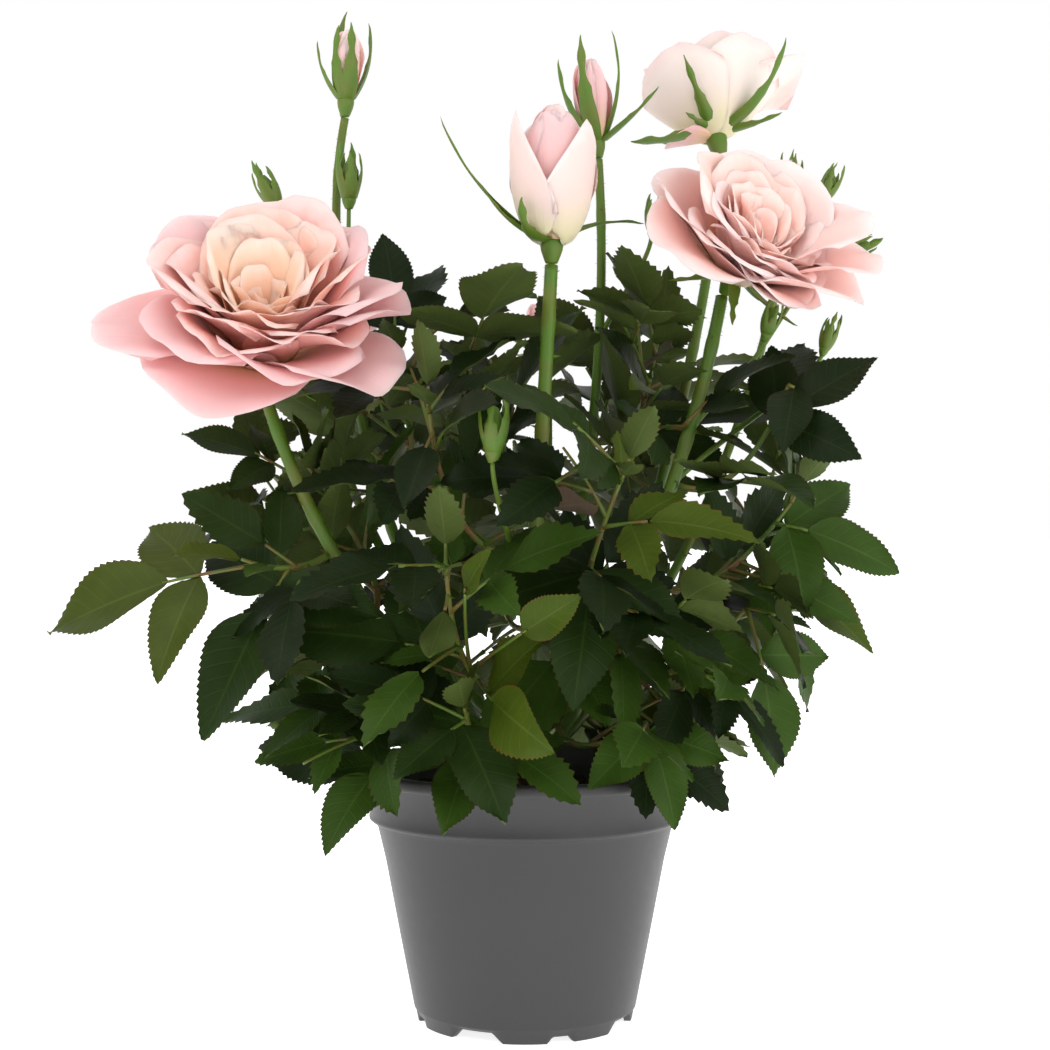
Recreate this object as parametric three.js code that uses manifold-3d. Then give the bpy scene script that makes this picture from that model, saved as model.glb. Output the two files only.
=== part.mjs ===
// A miniature rose bush in a plastic nursery pot, in millimetres, +Z up.
// The origin is the centre of the pot's underside, on the level it stands on.
// Canes fork from a short woody stem; leafy shoots branch from the canes by a seeded rule,
// and every shoot is one solid that keeps clear of all the others.
import * as THREE from "three";
import { mergeVertices } from "three/addons/utils/BufferGeometryUtils.js";
import Module from "manifold-3d";

const wasm = await Module();
wasm.setup();
const { Manifold } = wasm;

// ---- driving dimensions ----
const POT = {
  height: 87,
  rimRadius: 60,
  lipHeight: 4,
  bandTopRadius: 55.4,
  bandFootRadius: 53,
  bandFoot: 69, // height at which the band steps in to the body
  bodyTopRadius: 50.4,
  footRadius: 37.2,
  wall: 1.5,
  floorTop: 6,
  floorUnder: 4,
  plinth: 4.4, // height of the slightly set back foot ring
  plinthInset: 0.5,
  pads: 4, // quarters that repeat the pattern of feet and notches
  centrePadRadius: 12,
  sides: 32,
};
const SOIL = { top: 78, gap: 0.35, sides: 24 };
const TRUNK = { flareRadius: 10.5, footRadius: 7.6, topRadius: 6.2, height: 25, lean: 2.5, sides: 10 };
const CLEAR = 0.35; // gap between solids that meet
const LEAF = {
  thickness: 0.9,
  fold: 0.1, // how far the midrib lies under the margins, as a share of the width
  curl: 0.1, // how far the tip bends down, as a share of the length
  aspect: 0.7, // width over length
  widest: 0.42, // how far along it is widest
  sunk: 2.2, // how far a leaflet's root lies inside its stalk
  spread: 62, // angle of the side leaflets from the stalk, in degrees
  pairBack: 0.27, // how far the side leaflets sit behind the end one, as a share of its length
  pairSize: 0.86, // their length, as a share of the end one's
};
const STALK_RADIUS = 0.75;
const SHORTEST_EDGE = 0.02;
const SHOOT_RADIUS = 1.25;
const GOLDEN = 137.5;
// The round space that the leaves fill, which they face outwards from.
const CROWN = { middle: 162, radius: 126, halfHeight: 112 };
const FEWEST_LEAFLETS = 2;
const TRIES = 12; // how often the rule looks for a free place for a leaf

// Each cane: the bearing and height where it leaves the woody stem, its tip, the point that it
// bows towards, and its radii at foot and tip.
const CANES = {
  cane_left: { from: [205, 19], tip: [-84, -44, 213], bow: [-62, -54, 142], radii: [2.7, 2.1] },
  cane_top_left: { from: [166, 12], tip: [-62.6, 8, 310], bow: [-80, 12, 222], radii: [2.3, 1.5] },
  cane_centre: { from: [268, 13], tip: [8.5, -40, 252], bow: [4, -56, 165], radii: [2.6, 2.3] },
  cane_middle: { from: [60, 20], tip: [25.6, 10, 296], bow: [32, 10, 200], radii: [2.2, 1.6] },
  cane_right: { from: [325, 20], tip: [66, -15, 245], bow: [50, -34, 165], radii: [2.6, 2.2] },
  cane_top_right: { from: [18, 12], tip: [70, 24, 298], bow: [60, 26, 190], radii: [2.4, 1.8] },
  cane_far_right: { from: [45, 9], tip: [96, 40, 279], bow: [80, 50, 165], radii: [2.2, 1.5] },
  cane_back: { from: [95, 13], tip: [8, 60, 226], bow: [12, 66, 155], radii: [2.3, 1.6] },
  cane_back_left: { from: [130, 20], tip: [-82, 58, 230], bow: [-60, 56, 155], radii: [2.3, 1.6] },
};
const CANE_SIDES = 6;
const CANE_STEPS = 8;

// Each leafy shoot: the cane it grows from and how far up it, its tip, and its leaves: how many
// follow the rule, their size and droop, and those that are placed by hand at the crown's edge.
const SHOOTS = {
  shoot_far_left: {
    cane: "cane_left", at: 0.72, tip: [-84, -57, 156], leaves: 0, size: 36, droop: 0.3, seed: 11,
    placed: [
      { at: 0.6, tip: [-100.7, -62, 101.8], size: 43, spread: 96, face: [-0.3, -0.85, 0.4] },
      { at: 1, tip: [-154, -50, 136.8], size: 43, face: [0, -0.75, 0.66] },
    ],
  },
  shoot_left: {
    cane: "cane_left", at: 0.58, tip: [-74, -30, 192], leaves: 4, size: 32, droop: 0.2, seed: 12,
    placed: [{ at: 0.8, tip: [-111, -35, 200], size: 24, face: [-0.2, -0.6, 0.8] }],
  },
  shoot_left_low: {
    cane: "cane_left", at: 0.2, tip: [-52, -40, 108], leaves: 2, size: 32, droop: 0.5, seed: 13,
    placed: [
      { at: 0.7, tip: [-64, -66, 71], size: 30, face: [-0.3, -0.8, 0.5] },
      { at: 1, tip: [-64, -57, 104], size: 27, face: [-0.1, -0.8, 0.6] },
    ],
  },
  shoot_top_left: {
    cane: "cane_top_left", at: 0.54, tip: [-44, -6, 226], leaves: 4, size: 34, droop: 0.15, seed: 14,
    placed: [{ at: 1, tip: [-47, 0, 270], size: 26, face: [0.3, -0.95, 0.1] }],
  },
  shoot_front_low: {
    cane: "cane_centre", at: 0.16, tip: [-18, -62, 108], leaves: 3, size: 34, droop: 0.5, seed: 15,
    placed: [
      { at: 0.7, tip: [-25.5, -80, 79], size: 30, face: [-0.1, -0.9, 0.4] },
      { at: 1, tip: [-38, -85, 95], size: 43, face: [-0.2, -0.95, 0.35] },
    ],
  },
  shoot_front: {
    cane: "cane_centre", at: 0.36, tip: [-24, -76, 156], leaves: 5, size: 36, droop: 0.45, seed: 46,
  },
  shoot_front_high: {
    cane: "cane_centre", at: 0.6, tip: [-30, -62, 206], leaves: 5, size: 36, droop: 0.25, seed: 17,
  },
  shoot_crown_left: {
    cane: "cane_middle", at: 0.52, tip: [-20, -16, 222], leaves: 5, size: 36, droop: 0.1, seed: 18,
  },
  shoot_crown_right: {
    cane: "cane_middle", at: 0.62, tip: [44, -8, 226], leaves: 4, size: 34, droop: 0.1, seed: 19,
  },
  shoot_front_right: {
    cane: "cane_right", at: 0.42, tip: [30, -72, 184], leaves: 4, size: 36, droop: 0.35, seed: 20,
    placed: [{ at: 0.7, tip: [15, -90, 116.5], size: 44, face: [0.1, -0.95, 0.3] }],
  },
  shoot_right_high: {
    cane: "cane_right", at: 0.72, tip: [86, -32, 214], leaves: 3, size: 34, droop: 0.1, seed: 21,
    placed: [
      { at: 0.8, tip: [114, -35, 225], size: 36, face: [0.1, -0.75, 0.66] },
      { at: 1, tip: [105, -44, 203], size: 33, face: [0.1, -0.8, 0.6] },
    ],
  },
  shoot_right: {
    cane: "cane_right", at: 0.55, tip: [88, -24, 176], leaves: 3, size: 34, droop: 0.3, seed: 22,
    placed: [
      { at: 0.9, tip: [124, -30, 156], size: 40, face: [0.2, -0.8, 0.6] },
      { at: 0.6, tip: [108, -38, 139], size: 26, face: [0.2, -0.8, 0.6] },
    ],
  },
  shoot_right_low: {
    cane: "cane_right", at: 0.36, tip: [72, -36, 142], leaves: 2, size: 32, droop: 0.4, seed: 23,
    placed: [{ at: 1, tip: [81.6, -45, 88], size: 31, spread: 82, face: [0.3, -0.9, 0.2] }],
  },
  shoot_rim_right: {
    cane: "cane_right", at: 0.16, tip: [38, -52, 106], leaves: 2, size: 30, droop: 0.5, seed: 24,
    placed: [{ at: 1, tip: [48, -67, 76], size: 33, face: [0.3, -0.85, 0.4] }],
  },
  shoot_back_right: {
    cane: "cane_far_right", at: 0.5, tip: [90, 44, 184], leaves: 6, size: 36, droop: 0.35, seed: 25,
  },
  shoot_back_right_low: {
    cane: "cane_far_right", at: 0.26, tip: [64, 50, 120], leaves: 5, size: 34, droop: 0.5, seed: 26,
  },
  shoot_back: { cane: "cane_back", at: 0.5, tip: [-6, 86, 174], leaves: 6, size: 36, droop: 0.4, seed: 27 },
  shoot_back_low: {
    cane: "cane_back", at: 0.24, tip: [20, 70, 118], leaves: 5, size: 34, droop: 0.5, seed: 28,
  },
  shoot_back_high: {
    cane: "cane_back", at: 0.8, tip: [30, 50, 214], leaves: 6, size: 36, droop: 0.15, seed: 29,
  },
  shoot_back_left: {
    cane: "cane_back_left", at: 0.5, tip: [-84, 46, 170], leaves: 6, size: 36, droop: 0.4, seed: 30,
  },
  shoot_back_left_low: {
    cane: "cane_back_left", at: 0.26, tip: [-56, 48, 116], leaves: 5, size: 34, droop: 0.5, seed: 31,
  },
  shoot_back_left_high: {
    cane: "cane_back_left", at: 0.74, tip: [-44, 34, 214], leaves: 6, size: 36, droop: 0.15, seed: 32,
  },
};

const PETAL = { thickness: 1, across: 2, along: 3 };
const HIP_SEAT = 0.6; // how far a tilted hip is raised off its cane's end, for each mm of its rim's tilt
const SEPAL = { width: 4, thickness: 0.9, steps: 2 };
// Each bloom or bud at a cane's tip: its axis, hip, heart, rings of petals and sepals.
const BLOOMS = {
  bloom_left: {
    cane: "cane_left", axis: [0.1, -0.62, 0.78], turn: 10, finish: "petal",
    hip: { radius: 3.6, height: 8 }, heart: { radius: 27, height: 34 },
    rings: [
      { count: 5, length: 51, width: 50, opens: [62, 112], cup: 34, start: 2, turn: 0 },
    ],
    sepals: [{ length: 26, opens: [112, 96], turn: 252 }, { length: 24, opens: [120, 104], turn: 20 }],
  },
  bloom_right: {
    cane: "cane_right", axis: [0.3, -0.55, 0.78], turn: 30, finish: "petal",
    hip: { radius: 3.4, height: 8 }, heart: { radius: 22, height: 29 },
    rings: [
      { count: 5, length: 41, width: 40, opens: [60, 108], cup: 36, start: 2, turn: 0 },
    ],
    sepals: [{ length: 26, opens: [115, 96], turn: 330 }, { length: 22, opens: [125, 110], turn: 20 }],
  },
  bloom_centre: {
    cane: "cane_centre", axis: [0.02, -0.08, 1], turn: 0, finish: "palePetal",
    hip: { radius: 3.8, height: 8 }, heart: { radius: 10.5, height: 40 },
    rings: [{ count: 3, length: 42, width: 30, opens: [32, -10], cup: 62, start: 2, turn: 20 }],
    sepals: [
      { length: 50, opens: [75, 38], turn: 184 }, { length: 30, opens: [80, 92], turn: 350 },
      { length: 20, opens: [60, 20], turn: 215 }, { length: 18, opens: [70, 20], turn: 300 },
    ],
  },
  bloom_top_right: {
    cane: "cane_top_right", axis: [-0.14, 0.42, 0.9], turn: 0, finish: "palePetal",
    hip: { radius: 3.8, height: 8 }, heart: { radius: 17, height: 30 },
    rings: [
      { count: 3, length: 40, width: 38, opens: [66, 10], cup: 46, start: 2, turn: 75 },
    ],
    sepals: [
      { length: 29, opens: [58, 4], turn: 250 }, { length: 30, opens: [75, 20], turn: 340 },
      { length: 30, opens: [95, 88], turn: 188 }, { length: 20, opens: [100, 70], turn: 20 },
    ],
  },
  bud_top_left: {
    cane: "cane_top_left", axis: [0.05, -0.02, 1], turn: 0, finish: "palePetal",
    hip: { radius: 2.9, height: 6 }, heart: { radius: 5.6, height: 23 }, rings: [],
    sepals: [
      { length: 33, opens: [22, -14], turn: 90 }, { length: 27, opens: [26, -4], turn: 10 },
      { length: 25, opens: [26, -8], turn: 170 }, { length: 27, opens: [24, -10], turn: 300 },
    ],
  },
  bud_top_middle: {
    cane: "cane_middle", axis: [-0.1, 0.02, 1], turn: 0, finish: "petal",
    hip: { radius: 2.9, height: 6 }, heart: { radius: 6.6, height: 27 }, rings: [],
    sepals: [
      { length: 36, opens: [20, -4], turn: 60 }, { length: 32, opens: [48, 22], turn: 0 },
      { length: 36, opens: [24, -10], turn: 130 }, { length: 27, opens: [26, -8], turn: 250 },
    ],
  },
  bud_far_right: {
    cane: "cane_far_right", axis: [0.1, 0.1, 1], turn: 0, finish: "palePetal",
    hip: { radius: 2.6, height: 6 }, heart: { radius: 4.6, height: 17 }, rings: [],
    sepals: [{ length: 24, opens: [24, -6], turn: 100 }, { length: 22, opens: [50, 30], turn: 340 }],
  },
  bud_back: {
    cane: "cane_back", axis: [0.05, 0.3, 1], turn: 0, finish: "petal",
    hip: { radius: 3.2, height: 7 }, heart: { radius: 8.5, height: 30 },
    rings: [],
    sepals: [{ length: 26, opens: [85, 70], turn: 60 }, { length: 28, opens: [80, 40], turn: 200 }],
  },
  bloom_back_left: {
    cane: "cane_back_left", axis: [-0.3, 0.5, 0.8], turn: 0, finish: "petal",
    hip: { radius: 3.4, height: 8 }, heart: { radius: 17, height: 25 },
    rings: [
      { count: 5, length: 32, width: 32, opens: [60, 104], cup: 36, start: 2, turn: 0 },
    ],
    sepals: [{ length: 24, opens: [115, 96], turn: 250 }],
  },
};

// ---- small helpers ----
const vec = (x, y, z) => new THREE.Vector3(x, y, z);
const fromArray = (a) => vec(a[0], a[1], a[2]);
const radians = (degrees) => (degrees * Math.PI) / 180;
const UP = vec(0, 0, 1);

// A seeded run of numbers from 0 to 1.
function randomRun(seed) {
  let state = seed >>> 0;
  const next = () => {
    state = (Math.imul(state, 1664525) + 1013904223) >>> 0;
    return state / 4294967296;
  };
  for (let i = 0; i < 4; i++) next();
  return next;
}

// A three.js geometry as a solid, after place has moved each vertex.
function solidOf(geometry, place = (p) => p) {
  const moved = geometry.index ? geometry.toNonIndexed() : geometry.clone();
  moved.deleteAttribute("normal");
  moved.deleteAttribute("uv");
  const position = moved.getAttribute("position");
  const p = vec(0, 0, 0);
  for (let i = 0; i < position.count; i++) {
    p.fromBufferAttribute(position, i);
    const q = place(p);
    position.setXYZ(i, q.x, q.y, q.z);
  }
  const merged = mergeVertices(moved, 1e-4);
  return new Manifold(
    new wasm.Mesh({
      numProp: 3,
      vertProperties: merged.getAttribute("position").array,
      triVerts: new Uint32Array(merged.index.array),
    }),
  );
}

// A solid as a three.js geometry.
function geometryOf(solid) {
  const { vertProperties, triVerts } = solid.getMesh();
  const geometry = new THREE.BufferGeometry();
  geometry.setAttribute("position", new THREE.BufferAttribute(new Float32Array(vertProperties), 3));
  geometry.setIndex(new THREE.BufferAttribute(new Uint32Array(triVerts), 1));
  geometry.computeVertexNormals();
  return geometry;
}

// A solid whose edges too short to matter, which joining leaves behind, are drawn together.
function welded(solid) {
  const { vertProperties, triVerts } = solid.getMesh();
  const corner = (i) => fromArray(vertProperties.subarray(i * 3, i * 3 + 3));
  const into = Array.from({ length: vertProperties.length / 3 }, (_, i) => i);
  const last = (i) => (into[i] === i ? i : last(into[i]));
  for (let i = 0; i < triVerts.length; i += 3) {
    for (let k = 0; k < 3; k++) {
      const [a, b] = [last(triVerts[i + k]), last(triVerts[i + ((k + 1) % 3)])];
      if (a !== b && corner(a).distanceTo(corner(b)) < SHORTEST_EDGE) into[b] = a;
    }
  }
  // Two faces that have come to lie back to back go together.
  const kept = new Map();
  for (let i = 0; i < triVerts.length; i += 3) {
    const face = [0, 1, 2].map((k) => last(triVerts[i + k]));
    if (new Set(face).size < 3) continue;
    const key = face.toSorted((a, b) => a - b).join();
    if (!kept.delete(key)) kept.set(key, face);
  }
  const faces = new Uint32Array([...kept.values()].flat());
  return new Manifold(new wasm.Mesh({ numProp: 3, vertProperties, triVerts: faces }));
}

// The largest body of a union, with the loose scraps dropped.
function fused(solids) {
  const bodies = welded(Manifold.union(solids)).decompose();
  return bodies.reduce((a, b) => (a.volume() > b.volume() ? a : b));
}

// A limb of a few sides along a curve, tapering from one radius to the other.
function limb(curve, baseRadius, tipRadius, sides, steps) {
  const frames = [];
  let side = null;
  for (let i = 0; i <= steps; i++) {
    const along = curve.getTangent(i / steps);
    const seed = side ?? (Math.abs(along.z) < 0.9 ? UP.clone() : vec(1, 0, 0));
    side = seed.clone().addScaledVector(along, -seed.dot(along)).normalize();
    frames.push({ at: curve.getPoint(i / steps), side, across: along.clone().cross(side) });
  }
  const cylinder = new THREE.CylinderGeometry(1, 1, 1, sides, steps);
  return solidOf(cylinder, (p) => {
    const t = p.y + 0.5;
    const { at, side, across } = frames[Math.round(t * steps)];
    const radius = baseRadius + (tipRadius - baseRadius) * t;
    return at.clone().addScaledVector(side, p.z * radius).addScaledVector(across, p.x * radius);
  });
}

const bowed = (from, bow, to) => new THREE.QuadraticBezierCurve3(from, bow, to);

// ---- pot, soil and woody stem ----
function revolved(profile, sides) {
  const points = profile.map(([r, z]) => new THREE.Vector2(r, z));
  return solidOf(new THREE.LatheGeometry(points, sides), (p) => vec(p.x, -p.z, p.y));
}

// The pot's outer radius at a height, without the lip.
function potRadius(z) {
  const p = POT;
  if (z > p.bandFoot) {
    const t = (z - p.bandFoot) / (p.height - p.bandFoot);
    return p.bandFootRadius + (p.bandTopRadius - p.bandFootRadius) * t;
  }
  return p.footRadius + ((p.bodyTopRadius - p.footRadius) * z) / p.bandFoot;
}

// A notch through the foot ring, from one bearing to the other, as high as it is cut.
function notch(fromDegrees, toDegrees, height) {
  const innerReach = POT.footRadius - 10;
  const shape = new THREE.Shape();
  const half = Math.sin(radians(toDegrees - fromDegrees) / 2) * POT.footRadius;
  const shoulder = half * 0.62;
  shape.moveTo(-half, -1);
  shape.lineTo(-half, 0);
  shape.lineTo(-shoulder, height);
  shape.lineTo(shoulder, height);
  shape.lineTo(half, 0);
  shape.lineTo(half, -1);
  const middle = radians((fromDegrees + toDegrees) / 2 - 90);
  const cutter = new THREE.ExtrudeGeometry(shape, { depth: 16, bevelEnabled: false });
  return solidOf(cutter, (p) => {
    const out = innerReach + p.z;
    const x = out * Math.cos(middle) - p.x * Math.sin(middle);
    const y = out * Math.sin(middle) + p.x * Math.cos(middle);
    return vec(x, y, p.y);
  });
}

function makePot() {
  const p = POT;
  const inner = (z) => potRadius(z) - p.wall;
  const foot = p.footRadius - p.plinthInset;
  let pot = revolved(
    [
      [0, 0],
      [p.centrePadRadius, 0],
      [p.centrePadRadius, p.floorUnder],
      [foot - p.wall * 1.6, p.floorUnder],
      [foot - p.wall * 1.6, 0],
      [foot, 0],
      [potRadius(p.plinth) - p.plinthInset, p.plinth],
      [potRadius(p.plinth), p.plinth + 0.6],
      [p.bodyTopRadius, p.bandFoot - 1],
      [p.bandFootRadius, p.bandFoot],
      [p.bandTopRadius, p.height - p.lipHeight],
      [p.rimRadius, p.height - p.lipHeight + 0.6],
      [p.rimRadius, p.height - 1],
      [p.rimRadius - 1, p.height],
      [p.bandTopRadius - p.wall, p.height],
      [inner(p.bandFoot + 2), p.bandFoot + 2],
      [p.bodyTopRadius - p.wall, p.bandFoot - 3],
      [inner(p.floorTop), p.floorTop],
      [0, p.floorTop],
    ],
    p.sides,
  );
  const quarter = 360 / p.pads;
  for (let i = 0; i < p.pads; i++) {
    const turn = i * quarter;
    pot = pot.subtract(notch(turn + 11.5, turn + 26, 2.2));
    pot = pot.subtract(notch(turn + 49, turn + 78.5, 3.4));
  }
  return pot;
}

function makeSoil() {
  const inside = (z) => potRadius(z) - POT.wall - SOIL.gap;
  const low = POT.floorTop + SOIL.gap;
  const shoulder = POT.bandFoot - 4;
  return revolved(
    [
      [0, low],
      [inside(low) - 0.4, low],
      [inside(shoulder) - 0.6, shoulder],
      [inside(shoulder) - 0.6, SOIL.top - 1.5],
      [inside(shoulder) - 3.5, SOIL.top],
      [0, SOIL.top],
    ],
    SOIL.sides,
  );
}

const trunkFoot = SOIL.top + CLEAR;
const trunkAxis = (height) => vec((-TRUNK.lean * height) / TRUNK.height, 0, trunkFoot + height);

function trunkRadius(height) {
  const t = height / TRUNK.height;
  const taper = TRUNK.footRadius + (TRUNK.topRadius - TRUNK.footRadius) * t;
  return taper + (TRUNK.flareRadius - TRUNK.footRadius) * Math.max(0, 1 - t * 4) ** 2;
}

function makeTrunk() {
  const steps = 5;
  const cylinder = new THREE.CylinderGeometry(1, 1, 1, TRUNK.sides, steps);
  return solidOf(cylinder, (p) => {
    const height = (p.y + 0.5) * TRUNK.height;
    const radius = trunkRadius(height);
    return trunkAxis(height).add(vec(p.x * radius, -p.z * radius, 0));
  });
}

// ---- canes ----
function caneCurve({ from: [bearing, height], tip, bow }) {
  const out = vec(Math.cos(radians(bearing)), Math.sin(radians(bearing)), 0);
  const start = trunkAxis(height).addScaledVector(out, trunkRadius(height) + CLEAR);
  const through = fromArray(bow);
  return new THREE.CubicBezierCurve3(start, start.clone().addScaledVector(out, 12), through, fromArray(tip));
}

const caneAxes = {};
const canes = {};
for (const [name, spec] of Object.entries(CANES)) {
  caneAxes[name] = caneCurve(spec);
  canes[name] = limb(caneAxes[name], spec.radii[0], spec.radii[1], CANE_SIDES, CANE_STEPS);
}

// ---- blooms and buds ----
// The middle line of a petal, opening from one angle off the bloom's axis to another.
function petalSpine({ length, opens: [fromAngle, toAngle], start }, t) {
  const steps = 8;
  let out = start;
  let up = 0;
  for (let i = 0; i < steps; i++) {
    const angle = radians(fromAngle + (toAngle - fromAngle) * t * ((i + 0.5) / steps));
    out += (Math.sin(angle) * length * t) / steps;
    up += (Math.cos(angle) * length * t) / steps;
  }
  return { out, up, angle: radians(fromAngle + (toAngle - fromAngle) * t) };
}

const petalHalfWidth = (t) => 0.2 + 0.8 * Math.sin(Math.PI * Math.min(1, 0.08 + t * 0.66)) ** 1.1;

// A thick cupped petal, in the bloom's own frame with its axis along +Z.
function petal(ring, bearing) {
  const cup = radians(ring.cup);
  const sheet = new THREE.BoxGeometry(2, 1, 1, PETAL.across, PETAL.along, 1);
  const turn = radians(bearing);
  return solidOf(sheet, (p) => {
    const t = (p.y + 0.5) * (1 - 0.16 * p.x * p.x);
    const { out, up, angle } = petalSpine(ring, t);
    const half = (ring.width / 2) * petalHalfWidth(t);
    const sideways = (-half * Math.sin(cup * p.x)) / cup;
    const lift = (half * (1 - Math.cos(cup * p.x))) / cup + p.z * PETAL.thickness;
    const r = out - Math.cos(angle) * lift;
    const z = up + Math.sin(angle) * lift;
    return vec(
      r * Math.cos(turn) - sideways * Math.sin(turn),
      r * Math.sin(turn) + sideways * Math.cos(turn),
      z,
    );
  });
}

// A long narrow sepal from under the petals, opening and then bending as it goes.
function sepal({ length, opens, turn }) {
  const ring = { length, opens, start: 1.5 };
  const blade = new THREE.CylinderGeometry(1, 1, 1, 3, SEPAL.steps);
  const bearing = radians(turn);
  return solidOf(blade, (p) => {
    const t = p.y + 0.5;
    const { out, up, angle } = petalSpine(ring, t);
    const half = SEPAL.width * (1.05 - t) * 0.5;
    const lift = p.z * Math.max(SEPAL.thickness * (1.1 - t), 0.25);
    const r = out - Math.cos(angle) * lift;
    const sideways = -p.x * half;
    return vec(
      r * Math.cos(bearing) - sideways * Math.sin(bearing),
      r * Math.sin(bearing) + sideways * Math.cos(bearing),
      up + Math.sin(angle) * lift,
    );
  });
}

// A ball with few faces, stretched, standing on a height of the bloom's axis.
function egg(radius, height, foot, sides, rows) {
  const ball = new THREE.SphereGeometry(1, sides, rows);
  return solidOf(ball, (p) => vec(p.x * radius, p.z * -radius, foot + (p.y + 1) * 0.5 * height));
}

// Where a bloom's own frame sits: just clear of its cane's end, its axis turned to face.
function bloomPlace(cane, axis, turn) {
  const curve = caneAxes[cane];
  const facing = fromArray(axis).normalize();
  const tilt = Math.sin(curve.getTangent(1).angleTo(facing));
  const raise = CLEAR + HIP_SEAT * CANES[cane].radii[1] * tilt;
  const tip = curve.getPoint(1).addScaledVector(facing, raise);
  const lean = new THREE.Quaternion().setFromUnitVectors(UP, facing);
  const spin = new THREE.Quaternion().setFromAxisAngle(UP, radians(turn));
  return new THREE.Matrix4().compose(tip, lean.multiply(spin), vec(1, 1, 1));
}

function moved(solid, matrix) {
  const geometry = geometryOf(solid);
  return solidOf(geometry, (p) => p.clone().applyMatrix4(matrix));
}

function makeBloom({ hip, rings, heart, sepals }) {
  const solids = [
    egg(hip.radius, hip.height, 0, 7, 3),
    egg(heart.radius, heart.height, hip.height * 0.6, 8, 4),
  ];
  const raised = new THREE.Matrix4().makeTranslation(0, 0, hip.height * 0.72);
  for (const ring of rings) {
    for (let i = 0; i < ring.count; i++) {
      solids.push(moved(petal(ring, ring.turn + (360 / ring.count) * i), raised));
    }
  }
  for (const each of sepals) solids.push(moved(sepal(each), raised));
  return fused(solids);
}

// ---- leaves ----
// The four-cornered blade of one leaflet, folded along its midrib; spare fattens it all round.
function leaflet({ root, tip, face }, spare = 0) {
  const along = tip.clone().sub(root);
  const length = along.length() + spare;
  along.normalize();
  const top = face.clone().addScaledVector(along, -face.dot(along)).normalize();
  const across = along.clone().cross(top);
  const half = (length * LEAF.aspect) / 2 + spare;
  const blade = new THREE.SphereGeometry(1, 4, 2);
  return solidOf(blade, (p) => {
    const t = (1 + p.x) / 2 - (0.5 - LEAF.widest) * Math.abs(p.z);
    const fold = 2 * LEAF.fold * half * Math.abs(p.z);
    const lift = fold - LEAF.curl * length * t * t + p.y * (LEAF.thickness / 2 + spare);
    return root
      .clone()
      .addScaledVector(along, t * length)
      .addScaledVector(across, p.z * half)
      .addScaledVector(top, lift);
  });
}

// A leaf's stalk and the places of its leaflets, from where it leaves the shoot to its tip.
function leafPlan({ base, tip, size, face, spread = LEAF.spread }) {
  const reach = base.distanceTo(tip);
  const end = tip.clone().sub(base).normalize();
  const joint = tip.clone().addScaledVector(end, -Math.min(size, reach * 0.7));
  const top = face.clone().addScaledVector(end, -face.dot(end)).normalize();
  const stalkLength = base.distanceTo(joint);
  joint.addScaledVector(top, stalkLength * 0.12);
  const stalk = new THREE.LineCurve3(base, joint);
  const leaflets = [{ root: joint.clone().addScaledVector(end, -LEAF.sunk), tip, face: top }];
  const pairAt = Math.max(0.3, 1 - (size * LEAF.pairBack) / stalkLength);
  const along = stalk.getTangent(pairAt);
  for (const side of [-1, 1]) {
    const heading = along.clone().applyAxisAngle(top, radians(side * spread));
    heading.addScaledVector(top, -0.12).normalize();
    const root = stalk.getPoint(pairAt);
    leaflets.push({ root, tip: root.clone().addScaledVector(heading, size * LEAF.pairSize), face: top });
  }
  return { stalk, leaflets };
}

// The leaf that a shoot's seeded rule puts at one of its nodes.
function leafByRule(axis, { leaves, size, droop }, index, random) {
  const at = (index + 1) / leaves;
  const base = axis.getPoint(at);
  const along = axis.getTangent(at);
  const across = along.clone().cross(UP).normalize();
  const around = across.applyAxisAngle(along, radians(GOLDEN * index) + (random() - 0.5) * 1.6);
  const outward = vec(base.x, base.y, (base.z - CROWN.middle) * 0.6).normalize();
  const heading = around
    .addScaledVector(along, 0.45)
    .addScaledVector(outward, 0.5)
    .addScaledVector(UP, 0.3 - droop - 0.5 * random())
    .normalize();
  const length = size * (0.9 + 0.25 * random());
  const reach = length * (1.5 + 0.35 * random());
  const tip = base.clone().addScaledVector(heading, reach);
  const face = outward
    .multiplyScalar(0.8)
    .addScaledVector(UP, 0.75)
    .applyAxisAngle(heading, (random() - 0.5) * 1.1);
  return { base, tip, size: length, face };
}

function insideCrown({ x, y, z }) {
  return Math.hypot(x, y) ** 2 / CROWN.radius ** 2 + ((z - CROWN.middle) / CROWN.halfHeight) ** 2 < 1;
}

// ---- what already stands in the crown's space ----
const taken = [];

// Each solid is noted with the node it belongs to and the leaf or limb that it is part of.
function take(solid, owner, part = owner) {
  taken.push({ solid, owner, part, box: solid.boundingBox() });
}

function clashes(solid, passes) {
  const { min, max } = solid.boundingBox();
  return taken.some((other) => {
    if (passes(other)) return false;
    const apart = [0, 1, 2].some((i) => min[i] > other.box.max[i] || max[i] < other.box.min[i]);
    return !apart && !other.solid.intersect(solid).isEmpty();
  });
}

// A leaf's solids that clear everything else, or none where its stalk or too many leaflets do not.
function growLeaf(owner, leaf, fewest = 1) {
  const { stalk, leaflets } = leafPlan(leaf);
  const part = `${owner} leaf ${taken.length}`;
  const own = (other) => other.part === part || other.part === owner;
  const wideStalk = limb(stalk, STALK_RADIUS + CLEAR, STALK_RADIUS + CLEAR, 3, 1);
  if (clashes(wideStalk, own)) return [];
  const stem = limb(stalk, STALK_RADIUS * 1.25, STALK_RADIUS, 3, 1);
  const blades = leaflets.filter((each) => !clashes(leaflet(each, CLEAR), own)).map((each) => leaflet(each));
  if (blades.length < fewest) return [];
  for (const solid of [stem, ...blades]) take(solid, owner, part);
  return [stem, ...blades];
}

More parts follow.
